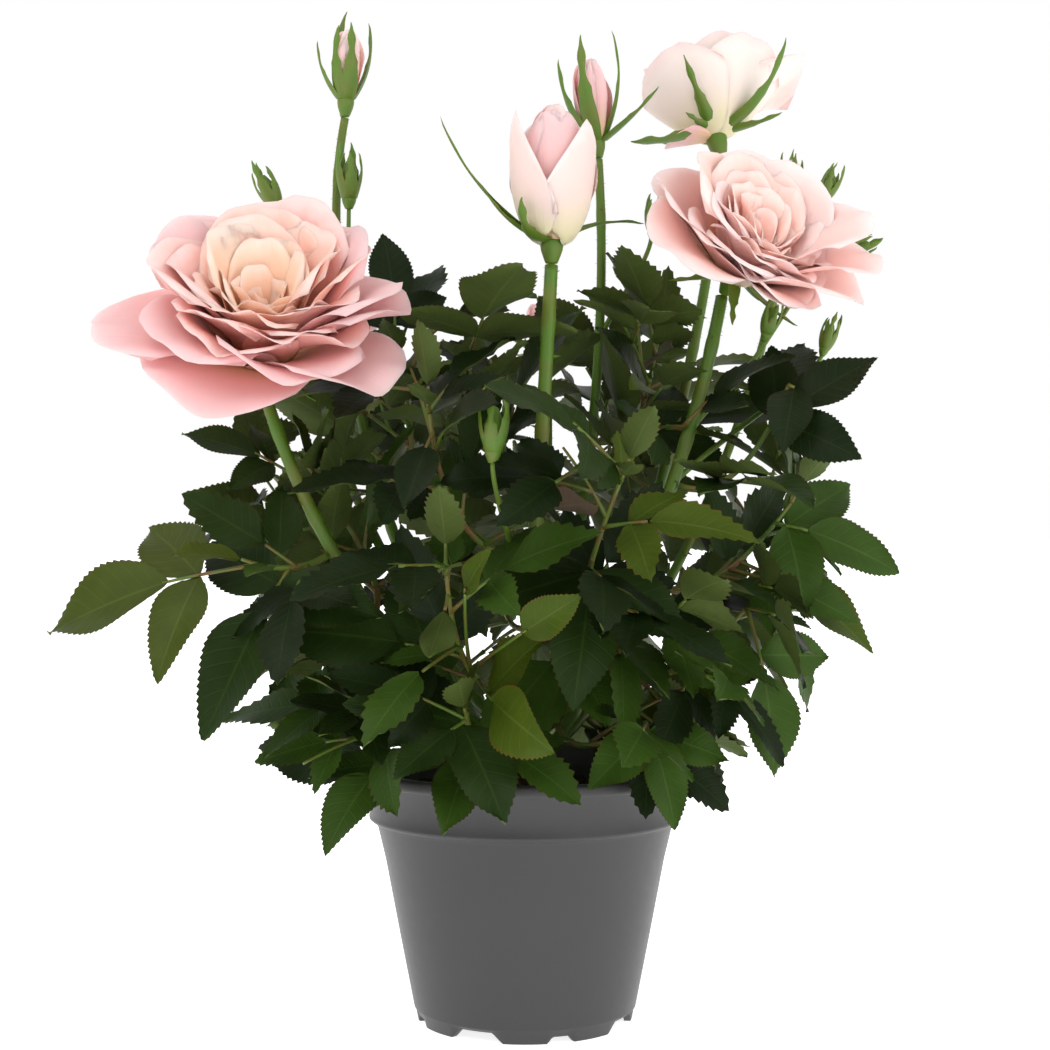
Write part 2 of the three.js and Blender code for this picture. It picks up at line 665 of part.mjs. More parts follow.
// The axis of a shoot, straight out of its cane and then on to its tip.
function shootAxis({ cane, at, tip }) {
  const axis = caneAxes[cane];
  const from = axis.getPoint(at);
  const end = fromArray(tip);
  const along = axis.getTangent(at);
  const towards = end.clone().sub(from);
  const out = towards.clone().addScaledVector(along, -towards.dot(along)).normalize();
  const [thick, thin] = CANES[cane].radii;
  const start = from.addScaledVector(out, thick + (thin - thick) * at + CLEAR);
  const bow = start.clone().addScaledVector(out, start.distanceTo(end) * 0.45);
  return bowed(start, bow, end);
}

// ---- the plant, piece by piece ----
const bush = new THREE.Group();
bush.name = "potted_rose_bush";

const finish = (color, roughness) => new THREE.MeshStandardMaterial({ color, roughness, metalness: 0 });
const FINISHES = {
  pot: finish(0x5a5b5d, 0.55),
  soil: finish(0x2b211b, 0.95),
  bark: finish(0x6d5a3c, 0.85),
  cane: finish(0x5f8a3a, 0.6),
  foliage: finish(0x2c4a2a, 0.5),
  petal: finish(0xf4b9b4, 0.6),
  palePetal: finish(0xf7e3d6, 0.6),
};

function addPiece(name, solid, material) {
  const mesh = new THREE.Mesh(geometryOf(solid), material);
  mesh.name = name;
  bush.add(mesh);
}

const pot = makePot();
const soil = makeSoil();
const trunk = makeTrunk();
addPiece("pot", pot, FINISHES.pot);
addPiece("soil", soil, FINISHES.soil);
addPiece("trunk", trunk, FINISHES.bark);
take(pot, "pot");
take(soil, "soil");
take(trunk, "trunk");

for (const [name, solid] of Object.entries(canes)) {
  addPiece(name, solid, FINISHES.cane);
  take(solid, name);
}

for (const [name, spec] of Object.entries(BLOOMS)) {
  const bloom = moved(makeBloom(spec), bloomPlace(spec.cane, spec.axis, spec.turn));
  addPiece(name, bloom, FINISHES[spec.finish]);
  take(bloom, name);
}

const shoots = {};
for (const [name, spec] of Object.entries(SHOOTS)) {
  const axis = shootAxis(spec);
  const stem = limb(axis, SHOOT_RADIUS, SHOOT_RADIUS * 0.6, 3, 3);
  take(stem, name);
  shoots[name] = { axis, spec, solids: [stem] };
}
for (const [name, { axis, spec, solids }] of Object.entries(shoots)) {
  for (const { at, tip, face, ...rest } of spec.placed ?? []) {
    const leaf = { base: axis.getPoint(at), tip: fromArray(tip), face: fromArray(face), ...rest };
    solids.push(...growLeaf(name, leaf));
  }
}
for (const [name, { axis, spec, solids }] of Object.entries(shoots)) {
  const random = randomRun(spec.seed);
  for (let i = 0; i < spec.leaves; i++) {
    let leaf = [];
    for (let k = 0; k < TRIES && !leaf.length; k++) {
      const plan = leafByRule(axis, spec, i, random);
      if (insideCrown(plan.tip)) leaf = growLeaf(name, plan, FEWEST_LEAFLETS);
    }
    solids.push(...leaf);
  }
  addPiece(name, fused(solids), FINISHES.foliage);
}

export default bush;
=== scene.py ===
"""A miniature rose bush in its nursery pot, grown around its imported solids.

Lengths are millimetres until a mesh is written, which turns them to metres.
"""
import logging
import math
from dataclasses import dataclass, field, replace
from enum import Enum
from typing import Callable, Iterable, Protocol, Sequence

import bpy
import numpy as np
from mathutils import Matrix, Quaternion, Vector, noise as lumps
from mathutils.bvhtree import BVHTree
from mathutils.kdtree import KDTree


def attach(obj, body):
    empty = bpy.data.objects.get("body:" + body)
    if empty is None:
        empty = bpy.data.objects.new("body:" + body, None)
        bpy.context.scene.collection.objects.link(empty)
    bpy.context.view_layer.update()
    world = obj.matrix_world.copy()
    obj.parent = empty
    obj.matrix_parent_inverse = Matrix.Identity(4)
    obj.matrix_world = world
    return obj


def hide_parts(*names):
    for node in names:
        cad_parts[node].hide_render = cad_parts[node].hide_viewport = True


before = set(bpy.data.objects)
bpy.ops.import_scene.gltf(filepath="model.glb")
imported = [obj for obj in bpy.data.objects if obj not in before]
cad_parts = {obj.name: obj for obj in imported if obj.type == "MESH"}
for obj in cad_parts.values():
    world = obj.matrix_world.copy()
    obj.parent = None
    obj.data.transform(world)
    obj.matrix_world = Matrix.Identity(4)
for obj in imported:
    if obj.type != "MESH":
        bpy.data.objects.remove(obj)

LOG = logging.getLogger("rose_bush")
MM = 0.001
BODY = "root"
CLEAR = 0.35
UP = Vector((0.0, 0.0, 1.0))


# ---------------------------------------------------------------- colours and materials
def linear(hex_colour: str) -> tuple[float, float, float, float]:
    """Turns an sRGB hex value such as "#a0b1c2" to linear red, green, blue and alpha."""
    parts = [int(hex_colour[i : i + 2], 16) / 255 for i in (1, 3, 5)]
    rgb = [c / 12.92 if c <= 0.04045 else ((c + 0.055) / 1.055) ** 2.4 for c in parts]
    return (rgb[0], rgb[1], rgb[2], 1.0)


def add_node(tree: bpy.types.NodeTree, kind: str, links: dict | None = None, **settings) -> bpy.types.Node:
    """Adds one node.

    Args:
        tree: the tree that it goes into.
        kind: the node's type name.
        links: for each input, by name or number, the socket or the value that it takes.
        settings: the node's own properties.

    Returns:
        The new node.
    """
    made = tree.nodes.new(kind)
    for key, value in settings.items():
        setattr(made, key, value)
    for key, value in (links or {}).items():
        socket = made.inputs[key]
        if isinstance(value, bpy.types.NodeSocket):
            tree.links.new(value, socket)
        else:
            socket.default_value = value
    return made


def add_ramp(tree: bpy.types.NodeTree, factor: bpy.types.NodeSocket, stops: Sequence[tuple[float, str]]
             ) -> bpy.types.NodeSocket:
    """Adds a colour ramp over the stops, each a place and a hex colour, and returns its colour."""
    ramp = add_node(tree, "ShaderNodeValToRGB", {0: factor})
    elements = ramp.color_ramp.elements
    while len(elements) < len(stops):
        elements.new(0.5)
    for element, (place, colour) in zip(elements, stops):
        element.position = place
        element.color = linear(colour)
    return ramp.outputs["Color"]


def new_material(name: str) -> tuple[bpy.types.Material, bpy.types.NodeTree, bpy.types.Node]:
    """Makes an empty material and returns it with its tree and its principled shader."""
    material = bpy.data.materials.new(name)
    material.use_nodes = True
    return material, material.node_tree, material.node_tree.nodes["Principled BSDF"]


def noise(tree: bpy.types.NodeTree, grain_mm: float, detail: float = 3.0) -> bpy.types.NodeSocket:
    """Adds a noise over the piece's own coordinates whose lumps are about grain_mm across."""
    place = add_node(tree, "ShaderNodeTexCoord")
    made = add_node(
        tree,
        "ShaderNodeTexNoise",
        {"Vector": place.outputs["Object"], "Scale": 1 / (grain_mm * MM), "Detail": detail},
    )
    return made.outputs["Fac"]


def add_bump(tree: bpy.types.NodeTree, shader: bpy.types.Node, height: bpy.types.NodeSocket,
             depth_mm: float, strength: float = 0.6) -> None:
    """Feeds a height into the shader's normal, depth_mm deep from its lowest to its highest."""
    bump = add_node(tree, "ShaderNodeBump",
                    {"Height": height, "Distance": depth_mm * MM, "Strength": strength})
    tree.links.new(bump.outputs["Normal"], shader.inputs["Normal"])


def maths(tree: bpy.types.NodeTree, operation: str, *values: bpy.types.NodeSocket | float
          ) -> bpy.types.NodeSocket:
    """Adds a math node on the values or sockets and returns its result."""
    made = add_node(tree, "ShaderNodeMath", dict(enumerate(values)), operation=operation)
    return made.outputs[0]


def blend(tree: bpy.types.NodeTree, factor: bpy.types.NodeSocket | float,
          first: bpy.types.NodeSocket | str, second: bpy.types.NodeSocket | str) -> bpy.types.NodeSocket:
    """Mixes two colours, each a socket or a hex value, by a factor."""
    ends = [linear(c) if isinstance(c, str) else c for c in (first, second)]
    made = add_node(tree, "ShaderNodeMix", {0: factor, 6: ends[0], 7: ends[1]}, data_type="RGBA")
    return made.outputs[2]


@dataclass(frozen=True)
class LeafSkin:
    """The skin of a rose leaf: waxy green above, matt and paler beneath, with a net of veins.

    The wax gives the upper side a broad soft shine, and the sunk veins break it into ribs.
    """

    name: str
    flesh: str
    shade: str
    vein: str
    margin: str
    roughness: float = 0.44
    gloss: float = 0.12
    vein_share: float = 0.32
    vein_count: int = 9
    vein_slant: float = 1.5
    mottle_mm: float = 9.0

    def material(self) -> bpy.types.Material:
        """Builds the material on the blade's own UV map: u across, v from root to tip."""
        material, tree, shader = new_material(self.name)
        uv = add_node(tree, "ShaderNodeUVMap", uv_map="UVMap")
        split = add_node(tree, "ShaderNodeSeparateXYZ", {0: uv.outputs["UV"]})
        doubled = maths(tree, "MULTIPLY", split.outputs[0], 2.0)
        across = maths(tree, "ABSOLUTE", maths(tree, "SUBTRACT", doubled, 1.0))
        climb = maths(tree, "MULTIPLY", across, -self.vein_slant)
        counted = maths(tree, "MULTIPLY_ADD", split.outputs[1], float(self.vein_count), climb)
        along = maths(tree, "FRACT", counted)
        side = maths(tree, "ABSOLUTE", maths(tree, "SUBTRACT", along, 0.5))
        side_vein = maths(tree, "SMOOTH_MIN", maths(tree, "MULTIPLY", side, 10.0), 1.0, 0.3)
        midrib = maths(tree, "SMOOTH_MIN", maths(tree, "MULTIPLY", across, 16.0), 1.0, 0.3)
        off_vein = maths(tree, "MULTIPLY", side_vein, midrib)
        faint = maths(tree, "SUBTRACT", 1.0, side_vein)
        clear = maths(tree, "SUBTRACT", 1.0, midrib)
        veins = maths(tree, "MAXIMUM", maths(tree, "MULTIPLY", faint, 0.3), clear)
        on_vein = maths(tree, "MULTIPLY", veins, self.vein_share)
        flesh = blend(tree, noise(tree, self.mottle_mm), self.flesh, self.shade)
        veined = blend(tree, on_vein, flesh, self.vein)
        edge = maths(tree, "MULTIPLY", maths(tree, "POWER", across, 30.0), 0.8)
        tree.links.new(blend(tree, edge, veined, self.margin), shader.inputs["Base Color"])
        shader.inputs["Roughness"].default_value = self.roughness
        shader.inputs["Specular IOR Level"].default_value = self.gloss
        height = maths(tree, "ADD", off_vein, maths(tree, "MULTIPLY", noise(tree, 1.2), 0.6))
        add_bump(tree, shader, height, 0.12, 0.5)
        return material


@dataclass(frozen=True)
class PetalSkin:
    """Petal tissue: thin, velvety and lit through, deeper coloured at its foot than at its rim."""

    name: str
    foot: str
    belly: str
    rim: str
    edge: str

    def material(self) -> bpy.types.Material:
        """Builds the material on the petal's own UV map: u across, v from foot to rim."""
        material, tree, shader = new_material(self.name)
        uv = add_node(tree, "ShaderNodeUVMap", uv_map="UVMap")
        split = add_node(tree, "ShaderNodeSeparateXYZ", {0: uv.outputs["UV"]})
        wander = maths(tree, "MULTIPLY", maths(tree, "SUBTRACT", noise(tree, 9.0, 2.0), 0.5), 0.22)
        along = maths(tree, "ADD", split.outputs[1], wander)
        stops = [(0.12, self.foot), (0.5, self.belly), (0.86, self.rim), (0.99, self.edge)]
        tree.links.new(add_ramp(tree, along, stops), shader.inputs["Base Color"])
        shader.inputs["Roughness"].default_value = 0.62
        shader.inputs["Specular IOR Level"].default_value = 0.25
        shader.inputs["Sheen Weight"].default_value = 0.05
        shader.inputs["Subsurface Weight"].default_value = 0.4
        shader.inputs["Subsurface Radius"].default_value = (1.0, 0.85, 0.8)
        shader.inputs["Subsurface Scale"].default_value = 0.9 * MM
        stripes = add_node(
            tree, "ShaderNodeTexNoise",
            {"Vector": add_node(tree, "ShaderNodeMapping",
                                {"Vector": uv.outputs["UV"], "Scale": (46.0, 2.2, 1.0)}).outputs[0],
             "Scale": 1.0, "Detail": 2.0})
        add_bump(tree, shader, stripes.outputs["Fac"], 0.25, 0.35)
        return material


@dataclass(frozen=True)
class StemSkin:
    """Young rose bark: smooth and waxy green, flushed with red in scattered patches."""

    name: str
    green: str
    flush: str
    roughness: float = 0.45
    flush_mm: float = 14.0

    def material(self) -> bpy.types.Material:
        """Builds the material over the piece's own coordinates."""
        material, tree, shader = new_material(self.name)
        patch = add_ramp(tree, noise(tree, self.flush_mm), [(0.42, "#000000"), (0.72, "#ffffff")])
        tree.links.new(blend(tree, patch, self.green, self.flush), shader.inputs["Base Color"])
        shader.inputs["Roughness"].default_value = self.roughness
        shader.inputs["Subsurface Weight"].default_value = 0.08
        shader.inputs["Subsurface Scale"].default_value = 0.8 * MM
        add_bump(tree, shader, noise(tree, 1.1, 5.0), 0.12)
        return material


@dataclass(frozen=True)
class WoodyBark:
    """Old rose bark: grey-brown cork, split lengthwise into fine flakes."""

    name: str = "rose_bark"
    ridge: str = "#7d6a4c"
    crack: str = "#3a2d20"

    def material(self) -> bpy.types.Material:
        """Builds the material with cracks that run along the stem."""
        material, tree, shader = new_material(self.name)
        place = add_node(tree, "ShaderNodeTexCoord")
        stretched = add_node(tree, "ShaderNodeMapping",
                             {"Vector": place.outputs["Object"], "Scale": (1, 1, 0.25)})
        cracks = add_node(
            tree, "ShaderNodeTexNoise",
            {"Vector": stretched.outputs[0], "Scale": 1 / (1.6 * MM), "Detail": 6.0, "Roughness": 0.65})
        tree.links.new(add_ramp(tree, cracks.outputs["Fac"], [(0.38, self.crack), (0.62, self.ridge)]),
                       shader.inputs["Base Color"])
        shader.inputs["Roughness"].default_value = 0.85
        add_bump(tree, shader, cracks.outputs["Fac"], 0.8)
        return material


@dataclass(frozen=True)
class PeatCompost:
    """Moist peat: dark, crumbly and full of short fibres, with hardly any shine."""

    name: str = "peat_compost"
    dark: str = "#1f1712"
    light: str = "#4a3826"

    def material(self) -> bpy.types.Material:
        """Builds the material over the piece's own coordinates."""
        material, tree, shader = new_material(self.name)
        tree.links.new(add_ramp(tree, noise(tree, 1.5, 6.0), [(0.35, self.dark), (0.75, self.light)]),
                       shader.inputs["Base Color"])
        shader.inputs["Roughness"].default_value = 0.93
        add_bump(tree, shader, noise(tree, 0.9, 6.0), 0.8)
        return material


@dataclass(frozen=True)
class MouldedPolypropylene:
    """Thin blow-moulded polypropylene: mid grey, satin, with a fine grain left by the mould.

    The soft sheen at grazing angles is what brightens the pot towards its sides.
    """

    name: str = "moulded_polypropylene"
    grey: str = "#333334"
    worn: str = "#383839"

    def material(self) -> bpy.types.Material:
        """Builds the material over the piece's own coordinates."""
        material, tree, shader = new_material(self.name)
        cloud = noise(tree, 26.0, 2.0)
        tree.links.new(blend(tree, cloud, self.grey, self.worn), shader.inputs["Base Color"])
        rough = add_node(tree, "ShaderNodeMapRange", {0: noise(tree, 3.0), 3: 0.42, 4: 0.52})
        tree.links.new(rough.outputs[0], shader.inputs["Roughness"])
        shader.inputs["IOR"].default_value = 1.49
        shader.inputs["Sheen Weight"].default_value = 0.16
        shader.inputs["Sheen Roughness"].default_value = 0.35
        add_bump(tree, shader, noise(tree, 0.35, 2.0), 0.03)
        return material


# ---------------------------------------------------------------- meshes
class MeshWriter:
    """Gathers many small shapes and writes them as one mesh."""

    def __init__(self) -> None:
        """Starts with nothing in it."""
        self.points: list[np.ndarray] = []
        self.maps: list[np.ndarray] = []
        self.rims: list[np.ndarray] = []
        self.faces: list[np.ndarray] = []
        self.slots: list[np.ndarray] = []
        self.count = 0

    def add(self, points: np.ndarray, faces: np.ndarray, slots: np.ndarray | int = 0,
            uv: np.ndarray | None = None, rim: np.ndarray | None = None) -> None:
        """Adds a shape.

        Args:
            points: its corners, in millimetres.
            faces: four corner numbers a face; a triangle repeats its last one.
            slots: the material slot of each face, or of all.
            uv: a place on the UV map for each corner.
            rim: marks the corners of a thin edge, whose edges are kept sharp.
        """
        size = len(points)
        self.points.append(np.asarray(points, float))
        self.maps.append(np.zeros((size, 2)) if uv is None else uv)
        self.rims.append(np.zeros(size, bool) if rim is None else rim)
        self.faces.append(np.asarray(faces, int) + self.count)
        self.slots.append(np.broadcast_to(slots, len(faces)).astype(int))
        self.count += size

    def write(self, name: str, materials: Sequence[bpy.types.Material]) -> bpy.types.Object:
        """Writes what was gathered as one object, in metres, with smooth faces.

        Args:
            name: the name of the object and of its mesh.
            materials: the materials of its slots, in order.

        Returns:
            The object, linked to the scene.
        """
        points = np.concatenate(self.points) * MM
        faces = np.concatenate(self.faces)
        slots = np.concatenate(self.slots)
        maps = np.concatenate(self.maps)
        rims = np.concatenate(self.rims)
        triangle = faces[:, 2] == faces[:, 3]
        sizes = np.where(triangle, 3, 4)
        keep = np.ones(faces.shape, bool)
        keep[triangle, 3] = False
        corners = faces[keep]
        mesh = bpy.data.meshes.new(name)
        mesh.vertices.add(len(points))
        mesh.vertices.foreach_set("co", points.ravel())
        mesh.loops.add(len(corners))
        mesh.loops.foreach_set("vertex_index", corners)
        mesh.polygons.add(len(faces))
        mesh.polygons.foreach_set("loop_start", np.concatenate([[0], np.cumsum(sizes)[:-1]]))
        mesh.polygons.foreach_set("material_index", slots)
        mesh.uv_layers.new(name="UVMap").data.foreach_set("uv", maps[corners].ravel())
        mesh.update(calc_edges=True)
        mesh.polygons.foreach_set("use_smooth", np.ones(len(faces), bool))
        if rims.any():
            ends = np.empty(len(mesh.edges) * 2, int)
            mesh.edges.foreach_get("vertices", ends)
            sharp = mesh.attributes.new("sharp_edge", "BOOLEAN", "EDGE")
            sharp.data.foreach_set("value", rims[ends.reshape(-1, 2)].all(axis=1))
        mesh.validate()
        for material in materials:
            mesh.materials.append(material)
        made = bpy.data.objects.new(name, mesh)
        bpy.context.scene.collection.objects.link(made)
        return made


def seat(piece: bpy.types.Object, slot: str, *nodes: str) -> None:
    """Lets a piece ride on the body and hides the solids it stands for."""
    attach(piece, BODY)
    if nodes:
        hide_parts(*nodes)
    LOG.info("%s: %d faces for %s", piece.name, len(piece.data.polygons), ", ".join(nodes) or "no solid")


class Sheet:
    """A thin closed sheet over a grid: an upper and an under side that meet along the rim."""

    def __init__(self, rows: int, columns: int) -> None:
        """Numbers the corners and faces of a grid of that many cells."""
        self.rows, self.columns = rows, columns
        along = np.linspace(0, 1, rows + 1)
        across = np.linspace(-1, 1, columns + 1)
        self.v, self.u = np.meshgrid(along, across, indexing="ij")
        top = np.arange((rows + 1) * (columns + 1)).reshape(rows + 1, columns + 1)
        inner = np.arange((rows - 1) * (columns - 1)).reshape(rows - 1, columns - 1) + top.size
        under = top.copy()
        under[1:-1, 1:-1] = inner
        upper_faces = self.quads(top)
        under_faces = self.quads(under)[:, [0, 3, 2, 1]]
        self.faces = np.concatenate([upper_faces, under_faces])
        self.under = np.repeat([0, 1], [len(upper_faces), len(under_faces)])
        rim = np.ones(top.shape, bool)
        rim[1:-1, 1:-1] = False
        self.rim = np.concatenate([rim.ravel(), np.zeros(inner.size, bool)])
        flat = np.stack([(self.u + 1) / 2, self.v], axis=-1)
        self.uv = np.concatenate([flat.reshape(-1, 2), flat[1:-1, 1:-1].reshape(-1, 2)])

    @staticmethod
    def quads(numbers: np.ndarray) -> np.ndarray:
        """Lists the grid's faces, wound so that they face up when u goes right and v goes away."""
        corners = [numbers[:-1, :-1], numbers[:-1, 1:], numbers[1:, 1:], numbers[1:, :-1]]
        return np.stack(corners, axis=-1).reshape(-1, 4)

    def add_to(self, writer: MeshWriter, surface: np.ndarray, thickness: float,
               slots: tuple[int, int]) -> None:
        """Adds the sheet whose upper side has the surface's points, a thickness deep."""
        by_v = np.gradient(surface, axis=0)
        by_u = np.gradient(surface, axis=1)
        normal = np.cross(by_u, by_v)
        normal /= np.linalg.norm(normal, axis=-1, keepdims=True) + 1e-12
        under = surface - normal * thickness
        points = np.concatenate([surface.reshape(-1, 3), under[1:-1, 1:-1].reshape(-1, 3)])
        writer.add(points, self.faces, np.take(slots, self.under), self.uv, self.rim)


def tube_faces(rings: int, sides: int) -> np.ndarray:
    """Lists a closed tube's faces: its walls, then its caps onto the two points after its rings."""
    number = np.arange(rings * sides).reshape(rings, sides)
    ahead = np.roll(number, -1, axis=1)
    walls = np.stack([number[:-1], ahead[:-1], ahead[1:], number[1:]], axis=-1).reshape(-1, 4)
    first, last = rings * sides, rings * sides + 1
    caps = [[ahead[0, i], number[0, i], first, first] for i in range(sides)]
    caps += [[number[-1, i], ahead[-1, i], last, last] for i in range(sides)]
    return np.concatenate([walls, caps])


def add_tube(writer: MeshWriter, path: np.ndarray, radii: np.ndarray, sides: int, slot: int = 0) -> None:
    """Adds a closed round tube.

    Args:
        writer: what gathers it.
        path: the points of its middle line.
        radii: its radius at each of them.
        sides: how many sides it has.
        slot: its material slot.
    """
    path = np.asarray(path, float)
    along = np.gradient(path, axis=0)
    along /= np.linalg.norm(along, axis=1, keepdims=True)
    side = np.cross(along[0], (0.31, 0.87, 0.38))
    rings = []
    for place, heading, radius in zip(path, along, radii):
        side = side - heading * side.dot(heading)
        side /= np.linalg.norm(side)
        across = np.cross(heading, side)
        turn = np.arange(sides) * 2 * math.pi / sides
        rings.append(place + radius * (np.outer(np.cos(turn), side) + np.outer(np.sin(turn), across)))
    writer.add(np.concatenate([*rings, path[:1], path[-1:]]), tube_faces(len(path), sides), slot)


def add_revolved(writer: MeshWriter, profile: Sequence[tuple[float, float]], sides: int, slot: int = 0,
                 place: Callable[[np.ndarray], np.ndarray] = lambda points: points) -> None:
    """Adds a shape turned about +Z.

    Args:
        writer: what gathers it.
        profile: radius and height of each corner, the first and the last on the axis.
        sides: how many sides it has.
        slot: its material slot.
        place: moves its points to where they belong.
    """
    ring = np.asarray(profile[1:-1], float)
    turn = np.arange(sides) * 2 * math.pi / sides
    radius, height = ring[:, :1], np.repeat(ring[:, 1:], sides, axis=1)
    points = np.stack([radius * np.cos(turn), radius * np.sin(turn), height], axis=-1).reshape(-1, 3)
    ends = np.array([[0, 0, profile[0][1]], [0, 0, profile[-1][1]]])
    writer.add(place(np.concatenate([points, ends])), tube_faces(len(ring), sides), slot)


# ---------------------------------------------------------------- curves and chance
class SeededRun:
    """A seeded run of numbers from 0 to 1, the same that the solids were grown from."""

    FACTOR = 1664525
    STEP = 1013904223
    SPAN = 4294967296

    def __init__(self, seed: int) -> None:
        """Starts the run and passes over its first numbers."""
        self.state = seed
        for _ in range(4):
            self.next()

    def next(self) -> float:
        """Gives the next number."""
        self.state = (self.state * self.FACTOR + self.STEP) % self.SPAN
        return self.state / self.SPAN

    def spread(self, low: float, high: float) -> float:
        """Gives the next number, between low and high."""
        return low + (high - low) * self.next()


@dataclass(frozen=True)
class Bezier:
    """A curve through three or four control points."""

    points: tuple[Vector, ...]

    def at(self, t: float) -> Vector:
        """Gives the point at t, from 0 to 1."""
        level = list(self.points)
        while len(level) > 1:
            level = [a.lerp(b, t) for a, b in zip(level, level[1:])]
        return level[0]

    def tangent(self, t: float) -> Vector:
        """Gives the direction at t."""
        return Bezier(tuple(b - a for a, b in zip(self.points, self.points[1:]))).at(t).normalized()

    def path(self, steps: int) -> np.ndarray:
        """Gives evenly numbered points along the curve."""
        return np.array([self.at(i / steps) for i in range(steps + 1)])


def upright_to(direction: Vector, other: Vector) -> Vector:
    """Gives the part of a direction that is square to another, with a length of one."""
    return (direction - other * direction.dot(other)).normalized()


# ---------------------------------------------------------------- tints and petal tones
class Tint(Enum):
    """The greens that a spray of leaves can have."""

    DEEP = "deep"
    MIDDLE = "middle"
    BRIGHT = "bright"
    OLIVE = "olive"
    YOUNG = "young"
    BRONZE = "bronze"


class Tone(Enum):
    """The petal colours, from the outermost petals to the heart."""

    OUTER = "outer"
    MIDDLE = "middle"
    DEEP = "deep"
    HEART = "heart"
    SHELL = "shell"
    PEACH = "peach"
    BLUSH = "blush"
    CREAM = "cream"


LEAF_SKINS = {
    Tint.DEEP: LeafSkin("leaf_deep", "#1a290d", "#121e08", "#2e431b", "#281f0d"),
    Tint.MIDDLE: LeafSkin("leaf_middle", "#273a13", "#1b2c0b", "#405822", "#322511"),
    Tint.BRIGHT: LeafSkin("leaf_bright", "#3b561a", "#2c4311", "#587636", "#46361c"),
    Tint.OLIVE: LeafSkin("leaf_olive", "#48561a", "#394413", "#667632", "#51401d"),
    Tint.YOUNG: LeafSkin("leaf_young", "#4a5c14", "#38480f", "#6b813b", "#6d3f20"),
    Tint.BRONZE: LeafSkin("leaf_bronze", "#443f1c", "#2f3716", "#656134", "#693622"),
}
UNDER_SKINS = {
    Tint.DEEP: LeafSkin("leaf_underside", "#50602a", "#435122", "#6f7e4a", "#553a22", 0.62, 0.2),
    Tint.BRONZE: LeafSkin("leaf_underside_mauve", "#60503f", "#504334", "#7b6a59", "#6b3f30", 0.62, 0.2),
}
PETAL_SKINS = {
    Tone.OUTER: PetalSkin("petal_outer", "#f8cca2", "#f7c0bd", "#f7c6c6", "#f7cfcf"),
    Tone.MIDDLE: PetalSkin("petal_middle", "#fabf96", "#fdb7ab", "#fdc5bd", "#fedcd7"),
    Tone.DEEP: PetalSkin("petal_deep", "#fab484", "#fdbaa4", "#fec8b7", "#feddd2"),
    Tone.HEART: PetalSkin("petal_heart", "#fac284", "#fdc8a6", "#fed3ba", "#fee2d2"),
    Tone.SHELL: PetalSkin("petal_shell", "#fad6b2", "#fecdc5", "#fed7d1", "#fee6e3"),
    Tone.PEACH: PetalSkin("petal_peach", "#fac69c", "#fec3b3", "#fed0c5", "#fee2da"),
    Tone.BLUSH: PetalSkin("petal_blush", "#ecdfb4", "#f4d7ce", "#f5dbd5", "#f7e5e1"),
    Tone.CREAM: PetalSkin("petal_cream", "#eee2ba", "#f8e4da", "#f9e8e1", "#f8dbd7"),
}
WARMER = {
    Tone.OUTER: Tone.MIDDLE, Tone.MIDDLE: Tone.DEEP, Tone.DEEP: Tone.HEART, Tone.SHELL: Tone.PEACH,
}
GREEN_STEM = StemSkin("green_cane", "#4f7514", "#646b1e")
YOUNG_STEM = StemSkin("young_twig", "#56701f", "#7c5230", 0.5, 9.0)
CALYX_SKIN = StemSkin("calyx_green", "#567a1c", "#687526", 0.5, 6.0)
BRISTLE_SKIN = StemSkin("bristle_tips", "#7f7a3c", "#8c4f34", 0.5, 3.0)


class Finish(Protocol):
    """What every finish has: a name, and a way to make its material."""

    name: str

    def material(self) -> bpy.types.Material:
        """Builds the material."""


class Finishes:
    """Makes each finish once and hands it out."""

    def __init__(self) -> None:
        """Starts with none made."""
        self.made: dict[str, bpy.types.Material] = {}

    def of(self, finish: Finish) -> bpy.types.Material:
        """Gives the material of a finish, built the first time that it is asked for."""
        if finish.name not in self.made:
            self.made[finish.name] = finish.material()
        return self.made[finish.name]

    def foliage(self) -> list[bpy.types.Material]:
        """Gives the leaf materials: the upper side of each tint, then the two undersides."""
        return [self.of(skin) for skin in (*LEAF_SKINS.values(), *UNDER_SKINS.values())]

    def petals(self) -> list[bpy.types.Material]:
        """Gives the petal materials, one a tone."""
        return [self.of(skin) for skin in PETAL_SKINS.values()]


def leaf_slots(tint: Tint) -> tuple[int, int]:
    """Gives the slots of a leaf's upper side and underside for a tint."""
    upper = list(LEAF_SKINS).index(tint)
    mauve = tint is Tint.BRONZE
    return upper, len(LEAF_SKINS) + int(mauve)


